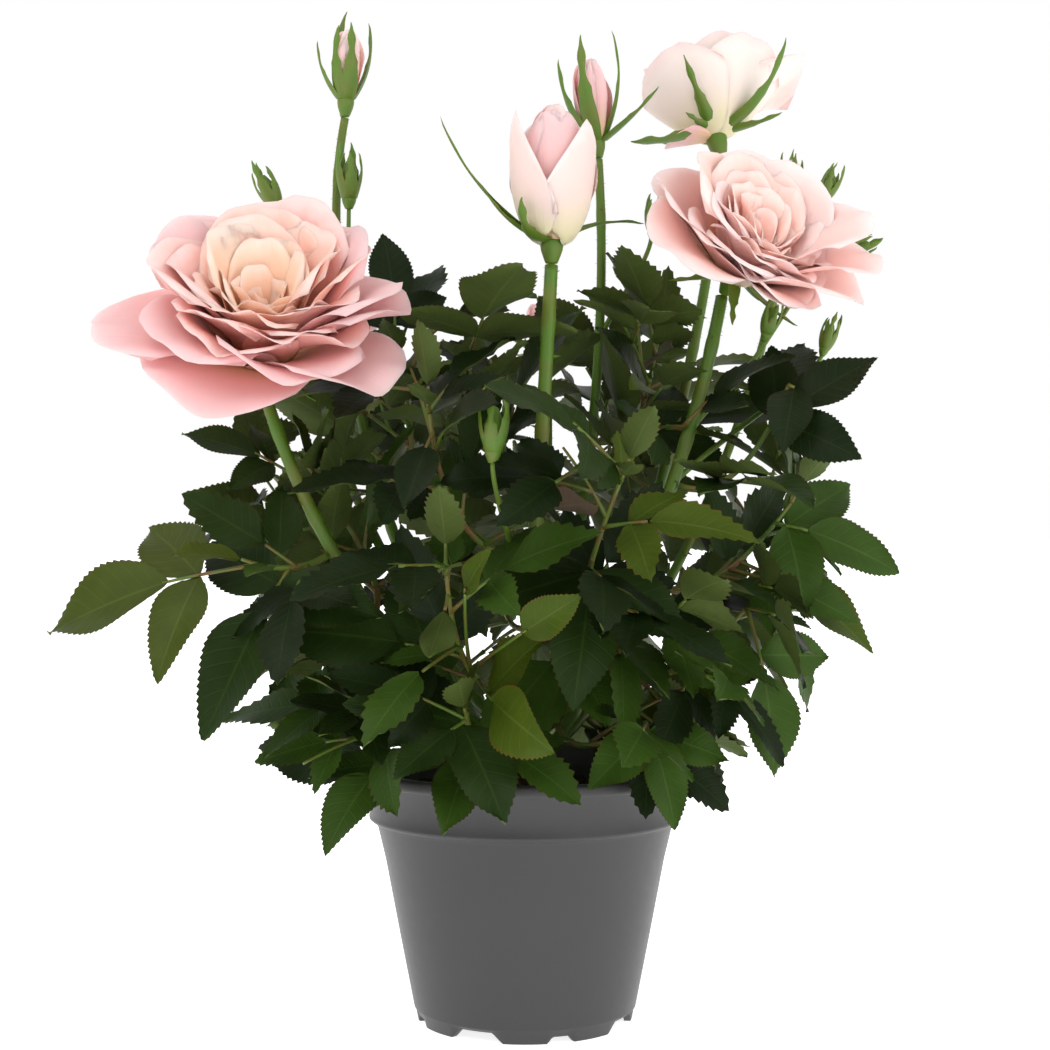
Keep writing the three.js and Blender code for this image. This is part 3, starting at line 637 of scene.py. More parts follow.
# ---------------------------------------------------------------- pot and soil
@dataclass
class Pot:
    """The tapering nursery pot with its turned-over lip, step and notched foot ring."""

    height: float = 87.0
    rim_radius: float = 60.0
    lip_height: float = 4.2
    band_top_radius: float = 55.4
    band_foot_radius: float = 53.0
    band_foot: float = 69.0
    body_top_radius: float = 50.4
    foot_radius: float = 37.2
    wall: float = 1.5
    floor_under: float = 4.0
    floor_top: float = 6.0
    plinth: float = 4.4
    centre_pad_radius: float = 12.0
    sides: int = 288
    notches: tuple[tuple[float, float, float], ...] = ((11.5, 26.0, 2.2), (49.0, 78.5, 3.4))
    quarter: float = 90.0

    def radius(self, height: float) -> float:
        """Gives the outer radius at a height, without the lip."""
        if height > self.band_foot:
            share = (height - self.band_foot) / (self.height - self.band_foot)
            return self.band_foot_radius + (self.band_top_radius - self.band_foot_radius) * share
        return self.foot_radius + (self.body_top_radius - self.foot_radius) * height / self.band_foot

    def inner(self, height: float) -> float:
        """Gives the inner radius at a height."""
        return self.radius(height) - self.wall

    def notch_height(self, bearing: float) -> float:
        """Gives how far the foot ring is cut away at a bearing, in degrees."""
        for low, high, depth in self.notches:
            half, middle = (high - low) / 2, (high + low) / 2
            off = abs((bearing - 90) % self.quarter - middle) / half
            if off < 1:
                return depth * min(1.0, (1 - off) / 0.38)
        return 0.0

    def profile(self) -> list[tuple[float, float]]:
        """Lists radius and height from the centre underneath, out and up, to the centre inside."""
        top, rim, foot = self.height, self.rim_radius, self.foot_radius - 0.5
        inside, ring_top = self.inner, self.radius(self.plinth)
        lip_foot = top - self.lip_height
        bead = self.band_foot
        return [
            (0, 0), (self.centre_pad_radius, 0), (self.centre_pad_radius, self.floor_under),
            (foot - 2.4, self.floor_under), (foot - 2.4, 0.0), (foot - 2.1, 0.0), (foot - 0.3, 0.0),
            (foot, 0.35), (ring_top - 0.55, self.plinth - 0.1), (ring_top - 0.1, self.plinth + 0.25),
            (ring_top, self.plinth + 0.7), (self.radius(30), 30), (self.radius(55), 55),
            (self.body_top_radius - 0.1, bead - 3.2), (self.body_top_radius + 0.25, bead - 2.2),
            (self.body_top_radius + 0.5, bead - 1.2), (self.band_foot_radius - 0.5, bead - 0.7),
            (self.band_foot_radius + 0.25, bead - 0.1), (self.band_foot_radius + 0.35, bead + 0.6),
            (self.band_foot_radius, bead + 1.3), (self.radius(76), 76),
            (self.band_top_radius - 0.35, lip_foot - 0.6), (self.band_top_radius + 0.4, lip_foot),
            (rim - 0.6, lip_foot + 0.25), (rim - 0.1, lip_foot + 0.7), (rim, lip_foot + 1.4),
            (rim, top - 1.1), (rim - 0.35, top - 0.35), (rim - 1.1, top), (rim - 2.6, top - 0.1),
            (self.band_top_radius - 0.6, top - 0.5), (inside(80) + 0.2, top - 1.6), (inside(78), 78),
            (inside(bead + 2), bead + 2), (self.body_top_radius - self.wall, bead - 3), (inside(30), 30),
            (inside(self.floor_top), self.floor_top), (0, self.floor_top),
        ]

    def build(self, finishes: Finishes) -> None:
        """Turns the profile and cuts the notches up into the foot ring."""
        writer = MeshWriter()

        def cut(points: np.ndarray) -> np.ndarray:
            """Raises the underside of the foot ring where it is notched."""
            for point in points:
                reach = math.hypot(point[0], point[1])
                if point[2] < 1 and reach > self.centre_pad_radius + 1:
                    bearing = math.degrees(math.atan2(point[1], point[0]))
                    point[2] += self.notch_height(bearing)
            return points

        add_revolved(writer, self.profile(), self.sides, place=cut)
        seat(writer.write("nursery_pot", [finishes.of(MouldedPolypropylene())]), "pot", "pot")


@dataclass
class Compost:
    """The peat that fills the pot, with loose crumbs on its surface."""

    pot: Pot
    top: float = 78.0
    gap: float = 0.35
    roughness: float = 1.1
    rings: int = 60
    sides: int = 160
    crumb: float = 1.3
    crumbs_each_square_mm: float = 0.16

    def build(self, finishes: Finishes) -> None:
        """Makes the lumpy fill and strews the crumbs."""
        peat = finishes.of(PeatCompost())
        inside = self.pot.radius(self.pot.band_foot - 4) - self.pot.wall - self.gap - 0.6
        low = self.pot.floor_top + self.gap
        foot = self.pot.radius(low) - self.pot.wall - self.gap - 0.4
        surface = [(inside * (1 - i / self.rings), self.top - 1.4) for i in range(self.rings)]
        profile = [(0, low), (foot, low), (inside, self.pot.band_foot - 4), *surface, (0, self.top - 1.4)]
        writer = MeshWriter()
        add_revolved(writer, profile, self.sides, place=self.lumpy)
        fill = writer.write("peat_fill", [peat])
        crumbs = Strewn(
            "peat_crumbs", shape="ICOSPHERE", size=self.crumb, density=self.crumbs_each_square_mm,
            least=0.35, seed=5, upwards=True,
        ).over(fill, peat)
        seat(fill, "soil", "soil")
        seat(crumbs, "soil")

    def lumpy(self, points: np.ndarray) -> np.ndarray:
        """Raises and lowers the surface by two scales of noise."""
        for point in points:
            if point[2] > self.top - 2:
                coarse = lumps.noise(Vector((point[0] / 11, point[1] / 11, 0.5)))
                fine = lumps.noise(Vector((point[0] / 3, point[1] / 3, 4.5)))
                point[2] += self.roughness * coarse + 0.45 * self.roughness * fine
        return points


# ---------------------------------------------------------------- what is strewn over a surface
@dataclass
class Strewn:
    """Small shapes strewn over a surface by Geometry Nodes: crumbs, bristles or prickles."""

    name: str
    shape: str
    size: float
    density: float
    least: float = 0.5
    slimness: float = 0.22
    lean: float = 0.0
    seed: int = 1
    upwards: bool = False

    def tree(self) -> bpy.types.NodeTree:
        """Builds the node tree, with inputs for its sizes and its material."""
        tree = bpy.data.node_groups.new(self.name + "_nodes", "GeometryNodeTree")
        face = tree.interface
        face.new_socket("Geometry", in_out="INPUT", socket_type="NodeSocketGeometry")
        for label in ("Size", "Density", "Least", "Slimness", "Lean"):
            face.new_socket(label, in_out="INPUT", socket_type="NodeSocketFloat")
        face.new_socket("Finish", in_out="INPUT", socket_type="NodeSocketMaterial")
        face.new_socket("Geometry", in_out="OUTPUT", socket_type="NodeSocketGeometry")
        start = add_node(tree, "NodeGroupInput").outputs
        normal = add_node(tree, "GeometryNodeInputNormal").outputs[0]
        facing_up = add_node(tree, "FunctionNodeCompare", {0: add_node(
            tree, "ShaderNodeSeparateXYZ", {0: normal}).outputs[2], 1: 0.3}, operation="GREATER_THAN")
        spots = add_node(tree, "GeometryNodeDistributePointsOnFaces",
                         {"Mesh": start["Geometry"], "Density": start["Density"], "Seed": self.seed})
        if self.upwards:
            tree.links.new(facing_up.outputs[0], spots.inputs["Selection"])
        if self.shape == "CONE":
            radius = maths(tree, "MULTIPLY", start["Size"], start["Slimness"])
            body = add_node(tree, "GeometryNodeMeshCone",
                            {"Vertices": 5, "Radius Top": 0.0, "Radius Bottom": radius,
                             "Depth": start["Size"]})
        else:
            body = add_node(tree, "GeometryNodeMeshIcoSphere", {"Radius": start["Size"], "Subdivisions": 1})
        scale = add_node(tree, "FunctionNodeRandomValue", {"Min": start["Least"], "Seed": self.seed + 1},
                         data_type="FLOAT")
        sway = add_node(tree, "FunctionNodeRandomValue", {"Seed": self.seed + 2}, data_type="FLOAT_VECTOR")
        for socket, share in ((sway.inputs[0], -1.0), (sway.inputs[1], 1.0)):
            socket.default_value = (share, share, share)
        swayed = add_node(tree, "ShaderNodeVectorMath", {0: sway.outputs[0], "Scale": start["Lean"]},
                          operation="SCALE")
        aim = add_node(tree, "ShaderNodeVectorMath", {0: spots.outputs["Normal"], 1: swayed.outputs[0]})
        turned = add_node(tree, "FunctionNodeAlignRotationToVector", {"Vector": aim.outputs[0]}, axis="Z")
        placed = add_node(
            tree, "GeometryNodeInstanceOnPoints",
            {"Points": spots.outputs["Points"], "Instance": body.outputs[0],
             "Rotation": turned.outputs[0], "Scale": scale.outputs[1]})
        real = add_node(tree, "GeometryNodeRealizeInstances", {0: placed.outputs[0]})
        dressed = add_node(tree, "GeometryNodeSetMaterial",
                           {0: real.outputs[0], "Material": start["Finish"]})
        add_node(tree, "NodeGroupOutput", {0: dressed.outputs[0]})
        return tree

    def over(self, ground: bpy.types.Object, finish: bpy.types.Material) -> bpy.types.Object:
        """Strews the shapes over an object.

        Args:
            ground: the object whose faces they stand on.
            finish: their material.

        Returns:
            A plain mesh object of the shapes alone.
        """
        tree = self.tree()
        modifier = ground.modifiers.new(self.name, "NODES")
        modifier.node_group = tree
        values = {"Size": self.size * MM, "Density": self.density / MM**2, "Least": self.least,
                  "Slimness": self.slimness, "Lean": self.lean, "Finish": finish}
        for item in tree.interface.items_tree:
            if item.in_out == "INPUT" and item.name in values:
                modifier[item.identifier] = values[item.name]
        depsgraph = bpy.context.evaluated_depsgraph_get()
        mesh = bpy.data.meshes.new_from_object(ground.evaluated_get(depsgraph))
        ground.modifiers.remove(modifier)
        mesh.name = self.name
        made = bpy.data.objects.new(self.name, mesh)
        bpy.context.scene.collection.objects.link(made)
        return made


# ---------------------------------------------------------------- woody stem and canes
@dataclass
class WoodyStem:
    """The short woody stem that the canes fork from."""

    flare_radius: float = 10.5
    foot_radius: float = 7.6
    top_radius: float = 6.2
    height: float = 25.0
    lean: float = 2.5
    foot: float = 78.0 + CLEAR

    def axis(self, height: float) -> Vector:
        """Gives the point of the leaning middle line at a height above the peat."""
        return Vector((-self.lean * height / self.height, 0, self.foot + height))

    def radius(self, height: float) -> float:
        """Gives the radius at a height, wider at the root flare."""
        share = height / self.height
        taper = self.foot_radius + (self.top_radius - self.foot_radius) * share
        return taper + (self.flare_radius - self.foot_radius) * max(0.0, 1 - share * 4) ** 2

    def build(self, finishes: Finishes) -> None:
        """Makes the stem with bark ridges, knuckled where old shoots were cut."""
        rows, sides = 56, 96
        profile = [(0.0, 0.0), *[(1.0, i / rows) for i in range(rows + 1)], (0.0, 1.0)]

        def bark(points: np.ndarray) -> np.ndarray:
            """Moves the plain tube's points out to the bark's ridges."""
            shaped = []
            for x, y, share in points:
                centre, radius = self.axis(share * self.height), self.radius(share * self.height)
                ridge = lumps.noise(Vector((x * 5.5, y * 5.5, share * 3.5)))
                knuckle = lumps.noise(Vector((x * 1.4, y * 1.4, share * 4 + 9)))
                reach = radius * (1 + 0.055 * ridge + 0.07 * knuckle) - 0.2
                shaped.append(centre + Vector((x, y, 0)) * reach)
            return np.array(shaped)

        writer = MeshWriter()
        add_revolved(writer, profile, sides, place=bark)
        seat(writer.write("woody_stem", [finishes.of(WoodyBark())]), "bark", "trunk")


@dataclass(frozen=True)
class Cane:
    """A cane: bearing and height where it leaves the stem, tip, bow and its end radii."""

    name: str
    bearing: float
    height: float
    tip: tuple[float, float, float]
    bow: tuple[float, float, float]
    radii: tuple[float, float]

    def curve(self, stem: WoodyStem) -> Bezier:
        """Gives the middle line, straight out of the stem and then up to the tip."""
        turn = math.radians(self.bearing)
        out = Vector((math.cos(turn), math.sin(turn), 0))
        start = stem.axis(self.height) + out * (stem.radius(self.height) + CLEAR)
        return Bezier((start, start + out * 12, Vector(self.bow), Vector(self.tip)))

    def radius(self, t: float) -> float:
        """Gives the radius at t, from 0 to 1."""
        return self.radii[0] + (self.radii[1] - self.radii[0]) * t


CANES = [
    Cane("cane_left", 205, 19, (-84, -44, 213), (-62, -54, 142), (2.7, 2.1)),
    Cane("cane_top_left", 166, 12, (-62.6, 8, 310), (-80, 12, 222), (2.3, 1.5)),
    Cane("cane_centre", 268, 13, (8.5, -40, 252), (4, -56, 165), (2.6, 2.3)),
    Cane("cane_middle", 60, 20, (25.6, 10, 296), (32, 10, 200), (2.2, 1.6)),
    Cane("cane_right", 325, 20, (66, -15, 245), (50, -34, 165), (2.6, 2.2)),
    Cane("cane_top_right", 18, 12, (70, 24, 298), (60, 26, 190), (2.4, 1.8)),
    Cane("cane_far_right", 45, 9, (96, 40, 279), (80, 50, 165), (2.2, 1.5)),
    Cane("cane_back", 95, 13, (8, 60, 226), (12, 66, 155), (2.3, 1.6)),
    Cane("cane_back_left", 130, 20, (-82, 58, 230), (-60, 56, 155), (2.3, 1.6)),
]


@dataclass
class Canes:
    """All the canes, each a tapering stem with swollen nodes and a few prickles."""

    stem: WoodyStem
    sides: int = 20
    steps: int = 90
    nodes: int = 7
    swell: float = 0.13
    prickle: float = 2.6
    bristle: float = 1.3
    bristle_steps: int = 24

    def build(self, finishes: Finishes) -> None:
        """Makes each cane, the prickles on all and the bristles below the blooms."""
        writer = MeshWriter()
        names = []
        for cane in CANES:
            curve = cane.curve(self.stem)
            share = np.linspace(0, 1, self.steps + 1)
            knots = np.exp(-(((share * self.nodes) % 1 - 0.5) / 0.07) ** 2)
            radii = np.array([cane.radius(t) for t in share]) * (0.94 + self.swell * knots)
            add_tube(writer, curve.path(self.steps), radii, self.sides)
            names.append(cane.name)
        green = finishes.of(GREEN_STEM)
        canes = writer.write("green_canes", [green])
        prickles = Strewn("prickles", "CONE", self.prickle, 0.0035, 0.5, 0.2, 0.25, 11).over(canes, green)
        seat(canes, "cane", *names)
        seat(prickles, "cane")
        self.bristles(finishes)

    def bristles(self, finishes: Finishes) -> None:
        """Sets fine glandular bristles on the last stretch below each bloom."""
        writer = MeshWriter()
        for cane in CANES:
            curve = cane.curve(self.stem)
            last = self.bristle_steps
            path = np.array([curve.at(0.68 + 0.32 * i / last) for i in range(last + 1)])
            radii = np.array([cane.radius(0.7 + 0.3 * i / last) * 0.9 for i in range(last + 1)])
            add_tube(writer, path, radii, 8)
        ground = writer.write("bristle_ground", [])
        seat(Strewn("stem_bristles", "CONE", self.bristle, 0.4, 0.35, 0.07, 0.5, 21)
             .over(ground, finishes.of(BRISTLE_SKIN)), "cane")
        bpy.data.objects.remove(ground)


# ---------------------------------------------------------------- leaves
@dataclass(frozen=True)
class Blade:
    """Where one leaflet lies: its root and tip, and the way that its upper side faces."""

    root: Vector
    tip: Vector
    face: Vector

    def frame(self) -> tuple[Vector, Vector, Vector, float]:
        """Gives the directions along, across and out of the leaflet, and its length."""
        along = self.tip - self.root
        length = along.length
        along.normalize()
        top = upright_to(self.face, along)
        return along, along.cross(top), top, length


@dataclass(frozen=True)
class LeafPlace:
    """A compound leaf: where its stalk starts, its tip, its end leaflet's length and its facing."""

    base: Vector
    tip: Vector
    size: float
    face: Vector
    spread: float = 62.0
    tint: Tint = Tint.DEEP


@dataclass
class LeafRule:
    """How a rose leaf is laid out, and how leaves follow each other along a shoot."""

    thickness: float = 0.9
    fold: float = 0.1
    curl: float = 0.1
    aspect: float = 0.7
    widest: float = 0.42
    sunk: float = 2.2
    pair_back: float = 0.27
    pair_size: float = 0.86
    stalk_radius: float = 0.62
    golden: float = 137.5
    crown_middle: float = 162.0
    crown_radius: float = 126.0
    crown_half_height: float = 112.0

    def plan(self, leaf: LeafPlace, pairs: int = 1) -> tuple[Bezier, list[Blade]]:
        """Lays out a leaf.

        Args:
            leaf: where it goes.
            pairs: how many pairs of side leaflets it has room for at most.

        Returns:
            The curve of its stalk, and its leaflets, the end one first.
        """
        reach = (leaf.tip - leaf.base).length
        end = (leaf.tip - leaf.base).normalized()
        top = upright_to(leaf.face, end)
        joint = leaf.tip - end * min(leaf.size, reach * 0.7)
        stalk_length = (joint - leaf.base).length
        joint = joint + top * stalk_length * 0.12
        middle = leaf.base.lerp(joint, 0.5) + top * stalk_length * 0.03
        stalk = Bezier((leaf.base.copy(), middle, joint))
        blades = [Blade(joint - end * self.sunk, leaf.tip, top)]
        along = (joint - leaf.base).normalized()
        step = leaf.size * self.pair_back / stalk_length
        size = leaf.size * self.pair_size
        for pair in range(pairs):
            at = max(0.3, 1 - step) if pair == 0 else 1 - step * (1.15 + pair)
            if pair and at < 0.22:
                break
            for side in (-1, 1):
                heading = along.copy()
                heading.rotate(Quaternion(top, math.radians(side * leaf.spread)))
                heading = (heading - top * 0.12).normalized()
                root = leaf.base.lerp(joint, at)
                blades.append(Blade(root, root + heading * size, top))
            size *= 0.82
        return stalk, blades

    def by_rule(self, axis: Bezier, leaves: float, size: float, droop: float, index: float,
                chance: SeededRun) -> LeafPlace:
        """Places the leaf that grows at one of a shoot's nodes.

        Args:
            axis: the shoot's middle line.
            leaves: how many leaves it has.
            size: the length of an end leaflet.
            droop: how far the leaves hang.
            index: the number of the node.
            chance: the run of numbers that it draws from.

        Returns:
            Where the leaf goes.
        """
        at = (index + 1) / leaves
        base, along = axis.at(at), axis.tangent(at)
        around = along.cross(UP).normalized()
        around.rotate(Quaternion(along, math.radians(self.golden * index) + (chance.next() - 0.5) * 1.6))
        outward = Vector((base.x, base.y, (base.z - self.crown_middle) * 0.6)).normalized()
        heading = around + along * 0.45 + outward * 0.5 + UP * (0.3 - droop - 0.5 * chance.next())
        heading.normalize()
        length = size * (0.9 + 0.25 * chance.next())
        reach = length * (1.5 + 0.35 * chance.next())
        face = outward * 0.8 + UP * 0.75
        face.rotate(Quaternion(heading, (chance.next() - 0.5) * 1.1))
        return LeafPlace(base, base + heading * reach, length, face)

    def inside_crown(self, tip: Vector) -> bool:
        """Tells whether a leaf's tip is inside the round space that the crown fills."""
        level = math.hypot(tip.x, tip.y) / self.crown_radius
        upright = (tip.z - self.crown_middle) / self.crown_half_height
        return level**2 + upright**2 < 1

    def block(self, blade: Blade, spare: float = 0.0) -> tuple[list[Vector], list[tuple[int, ...]]]:
        """Gives the eight-faced shape that stands for a leaflet.

        Args:
            blade: where the leaflet lies.
            spare: how much it is fattened on each side.

        Returns:
            Its points, the tip second, and its faces.
        """
        along, across, top, length = blade.frame()
        length += spare
        half = length * self.aspect / 2 + spare
        lift = self.thickness / 2 + spare

        def at(t: float, side: float, rise: float) -> Vector:
            """Gives a point of the leaflet."""
            fold = 2 * self.fold * half * abs(side)
            return (blade.root + along * (t * length) + across * (side * half)
                    + top * (fold - self.curl * length * t * t + rise))

        points = [at(0, 0, 0), at(1, 0, 0), at(self.widest, 1, 0), at(self.widest, -1, 0),
                  at(0.5, 0, lift), at(0.5, 0, -lift)]
        faces = [(0, 2, 4), (2, 1, 4), (1, 3, 4), (3, 0, 4), (2, 0, 5), (1, 2, 5), (3, 1, 5), (0, 3, 5)]
        return points, faces


class CrownSpace:
    """Knows what already stands in the crown, so that new leaves keep clear of it."""

    MOST = 6000

    def __init__(self) -> None:
        """Starts empty."""
        self.trees: list[BVHTree] = []
        self.owners: list[str] = []
        self.lows = np.zeros((self.MOST, 3))
        self.highs = np.zeros((self.MOST, 3))

    def take(self, points: Sequence[Vector], faces: Sequence[Sequence[int]], owner: str) -> None:
        """Notes a shape as standing."""
        number = len(self.trees)
        corners = np.array(points)
        self.lows[number], self.highs[number] = corners.min(axis=0), corners.max(axis=0)
        self.trees.append(BVHTree.FromPolygons([tuple(p) for p in points], faces))
        self.owners.append(owner)

    def take_node(self, name: str) -> None:
        """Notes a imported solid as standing."""
        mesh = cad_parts[name].data
        points = [v.co / MM for v in mesh.vertices]
        self.take(points, [tuple(p.vertices) for p in mesh.polygons], name)

    def is_free(self, points: Sequence[Vector], faces: Sequence[Sequence[int]],
                passes: Iterable[str]) -> bool:
        """Tells whether a shape touches nothing but what belongs to the owners that it may pass."""
        count = len(self.trees)
        corners = np.array(points)
        low, high = corners.min(axis=0), corners.max(axis=0)
        near = np.nonzero(((self.lows[:count] < high) & (self.highs[:count] > low)).all(axis=1))[0]
        if not len(near):
            return True
        tree = BVHTree.FromPolygons([tuple(p) for p in points], faces)
        return not any(self.owners[i] not in passes and tree.overlap(self.trees[i]) for i in near)


@dataclass
class LeafletShape:
    """A leaflet's sheet: oval, pointed, finely toothed, folded along its midrib and curled."""

    rows: int = 40
    columns: int = 6
    thickness: float = 0.3
    fold: float = 0.18
    curl: float = 0.12
    aspect: float = 0.57
    slant: float = 0.12
    tooth: float = 0.04
    wave: float = 0.1
    sheet: Sheet = field(init=False)
    OUTLINE_AT = (0, 0.03, 0.08, 0.16, 0.26, 0.36, 0.46, 0.56, 0.66, 0.76, 0.85, 0.92, 0.97, 1)
    OUTLINE_WIDTH = (0, 0.26, 0.5, 0.76, 0.93, 1, 0.985, 0.91, 0.78, 0.59, 0.38, 0.2, 0.085, 0)

    def __post_init__(self) -> None:
        """Lays out the grid and the outline that all leaflets share."""
        self.sheet = Sheet(self.rows, self.columns)
        v, u = self.sheet.v, self.sheet.u
        row = np.arange(self.rows + 1)[:, None]
        share = np.interp(v, self.OUTLINE_AT, self.OUTLINE_WIDTH)
        margin = np.abs(u) > 0.999
        pulled = margin & (row % 2 == 1)
        notch = np.where(pulled, 1 - self.tooth * (1 + v), 1.0)
        self.across = u * share / share.max() * notch
        forward = np.where(margin & (row % 2 == 0), 0.6 / self.rows, 0)
        self.along = v + self.slant * np.abs(u) * v * (1 - v) ** 1.6 + forward
        self.along[0], self.along[-1] = 0.0, 1.0

    def add_to(self, writer: MeshWriter, blade: Blade, slots: tuple[int, int], chance: SeededRun) -> None:
        """Adds one leaflet to a writer, with its own fold, curl and waves."""
        along, across, top, length = (np.array(d) for d in blade.frame())
        half = length * self.aspect / 2 * chance.spread(0.92, 1.08)
        u, t = self.sheet.u, self.along
        fold = self.fold * chance.spread(0.5, 1.5)
        curl = self.curl * chance.spread(0.75, 1.5)
        wave = self.wave * half * np.sin(2 * math.pi * (chance.spread(1.1, 1.9) * t + chance.next()))
        lift = fold * half * np.abs(self.across) * 1.3 - curl * length * t * t
        lift = lift + wave * u * u * np.sign(u)
        sway = chance.spread(-0.05, 0.05) * length * t * t
        twist = chance.spread(-0.25, 0.25) * t
        side = self.across * half
        surface = (np.array(blade.root) + along * (t * length)[..., None]
                   + across * (side * np.cos(twist) + sway)[..., None]
                   + top * (lift + side * np.sin(twist))[..., None])
        self.sheet.add_to(writer, surface, self.thickness, slots)


@dataclass(frozen=True)
class Placed:
    """A leaf that is placed at the crown's edge: its node, tip, size and facing."""

    at: float
    tip: tuple[float, float, float]
    size: float
    face: tuple[float, float, float]
    spread: float = 62.0
    tint: Tint = Tint.MIDDLE

    def on(self, axis: Bezier) -> LeafPlace:
        """Gives the leaf's place on a shoot's middle line."""
        tip, face = Vector(self.tip), Vector(self.face)
        return LeafPlace(axis.at(self.at), tip, self.size, face, self.spread, self.tint)


@dataclass(frozen=True)
class Shoot:
    """A leafy shoot: the cane it grows from and how far up it, its tip and its leaves."""

    name: str
    cane: str
    at: float
    tip: tuple[float, float, float]
    leaves: int
    size: float
    droop: float
    seed: int
    placed: tuple[Placed, ...] = ()
    lone: tuple[Placed, ...] = ()

    def axis(self, canes: dict[str, tuple[Cane, Bezier]]) -> Bezier:
        """Gives the middle line, straight out of the cane and then on to the tip."""
        cane, curve = canes[self.cane]
        start, end = curve.at(self.at), Vector(self.tip)
        out = upright_to(end - start, curve.tangent(self.at))
        start = start + out * (cane.radius(self.at) + CLEAR)
        return Bezier((start, start + out * ((start - end).length * 0.45), end))


SHOOTS = [
    Shoot("shoot_far_left", "cane_left", 0.72, (-84, -57, 156), 0, 36, 0.3, 11, (
        Placed(0.6, (-100.7, -62, 101.8), 43, (-0.3, -0.85, 0.4), 96, Tint.MIDDLE),
        Placed(1, (-154, -50, 136.8), 43, (0, -0.75, 0.66), tint=Tint.OLIVE))),
    Shoot("shoot_left", "cane_left", 0.58, (-74, -30, 192), 4, 32, 0.2, 12, (
        Placed(0.8, (-111, -35, 200), 24, (-0.2, -0.6, 0.8)),)),
    Shoot("shoot_left_low", "cane_left", 0.2, (-52, -40, 108), 2, 32, 0.5, 13, (
        Placed(0.7, (-64, -66, 71), 30, (-0.3, -0.8, 0.5), tint=Tint.BRIGHT),
        Placed(1, (-64, -57, 104), 27, (-0.1, -0.8, 0.6)))),
    Shoot("shoot_top_left", "cane_top_left", 0.54, (-44, -6, 226), 4, 34, 0.15, 14, (
        Placed(1, (-47, 0, 270), 26, (0.3, -0.95, 0.1), tint=Tint.DEEP),)),
    Shoot("shoot_front_low", "cane_centre", 0.16, (-18, -62, 108), 3, 34, 0.5, 15, (
        Placed(0.7, (-25.5, -80, 79), 30, (-0.1, -0.9, 0.4), tint=Tint.BRIGHT),
        Placed(1, (-38, -85, 95), 43, (-0.2, -0.95, 0.35)))),
    Shoot("shoot_front", "cane_centre", 0.36, (-24, -76, 156), 5, 36, 0.45, 46, (), (
        Placed(0.9, (-29, -88, 127), 27, (0.25, 0.95, 0.2), tint=Tint.YOUNG),
        Placed(1, (-38, -88, 144), 36, (-0.1, -0.75, 0.65), tint=Tint.MIDDLE),
        Placed(0.5, (15, -92, 147), 21, (0.3, -0.9, 0.3), tint=Tint.YOUNG),
        Placed(0.5, (-12, -92, 161), 15, (-0.3, -0.8, 0.5), tint=Tint.YOUNG))),
    Shoot("shoot_front_high", "cane_centre", 0.6, (-30, -62, 206), 5, 36, 0.25, 17, (), (
        Placed(0.3, (22, -86, 177), 21, (-0.2, 0.9, 0.35), tint=Tint.BRONZE),
        Placed(0.9, (-36, -80, 176), 40, (0.0, -0.7, 0.7), tint=Tint.DEEP))),
    Shoot("shoot_crown_left", "cane_middle", 0.52, (-20, -16, 222), 5, 36, 0.1, 18),
    Shoot("shoot_crown_right", "cane_middle", 0.62, (44, -8, 226), 4, 34, 0.1, 19, (), (
        Placed(0.9, (46, -40, 227), 20, (-0.2, -0.8, 0.5), tint=Tint.BRONZE),
        Placed(0.8, (36, -38, 215), 17, (0.1, -0.9, 0.3), tint=Tint.YOUNG))),
    Shoot("shoot_front_right", "cane_right", 0.42, (30, -72, 184), 4, 36, 0.35, 20, (
        Placed(0.7, (15, -90, 116.5), 44, (0.1, -0.95, 0.3)),)),
    Shoot("shoot_right_high", "cane_right", 0.72, (86, -32, 214), 3, 34, 0.1, 21, (
        Placed(0.8, (114, -35, 225), 36, (0.1, -0.75, 0.66), tint=Tint.DEEP),
        Placed(1, (105, -44, 203), 33, (0.1, -0.8, 0.6), tint=Tint.DEEP))),
    Shoot("shoot_right", "cane_right", 0.55, (88, -24, 176), 3, 34, 0.3, 22, (
        Placed(0.9, (124, -30, 156), 40, (0.2, -0.8, 0.6), tint=Tint.BRIGHT),
        Placed(0.6, (108, -38, 139), 26, (0.2, -0.8, 0.6), tint=Tint.BRIGHT))),
    Shoot("shoot_right_low", "cane_right", 0.36, (72, -36, 142), 2, 32, 0.4, 23, (
        Placed(1, (81.6, -45, 88), 31, (0.3, -0.9, 0.2), 82, Tint.BRIGHT),)),
    Shoot("shoot_rim_right", "cane_right", 0.16, (38, -52, 106), 2, 30, 0.5, 24, (
        Placed(1, (48, -67, 76), 33, (0.3, -0.85, 0.4), tint=Tint.BRIGHT),)),
    Shoot("shoot_back_right", "cane_far_right", 0.5, (90, 44, 184), 6, 36, 0.35, 25),
    Shoot("shoot_back_right_low", "cane_far_right", 0.26, (64, 50, 120), 5, 34, 0.5, 26),
    Shoot("shoot_back", "cane_back", 0.5, (-6, 86, 174), 6, 36, 0.4, 27),
    Shoot("shoot_back_low", "cane_back", 0.24, (20, 70, 118), 5, 34, 0.5, 28),
    Shoot("shoot_back_high", "cane_back", 0.8, (30, 50, 214), 6, 36, 0.15, 29),
    Shoot("shoot_back_left", "cane_back_left", 0.5, (-84, 46, 170), 6, 36, 0.4, 30),
    Shoot("shoot_back_left_low", "cane_back_left", 0.26, (-56, 48, 116), 5, 34, 0.5, 31),
    Shoot("shoot_back_left_high", "cane_back_left", 0.74, (-44, 34, 214), 6, 36, 0.15, 32),
]


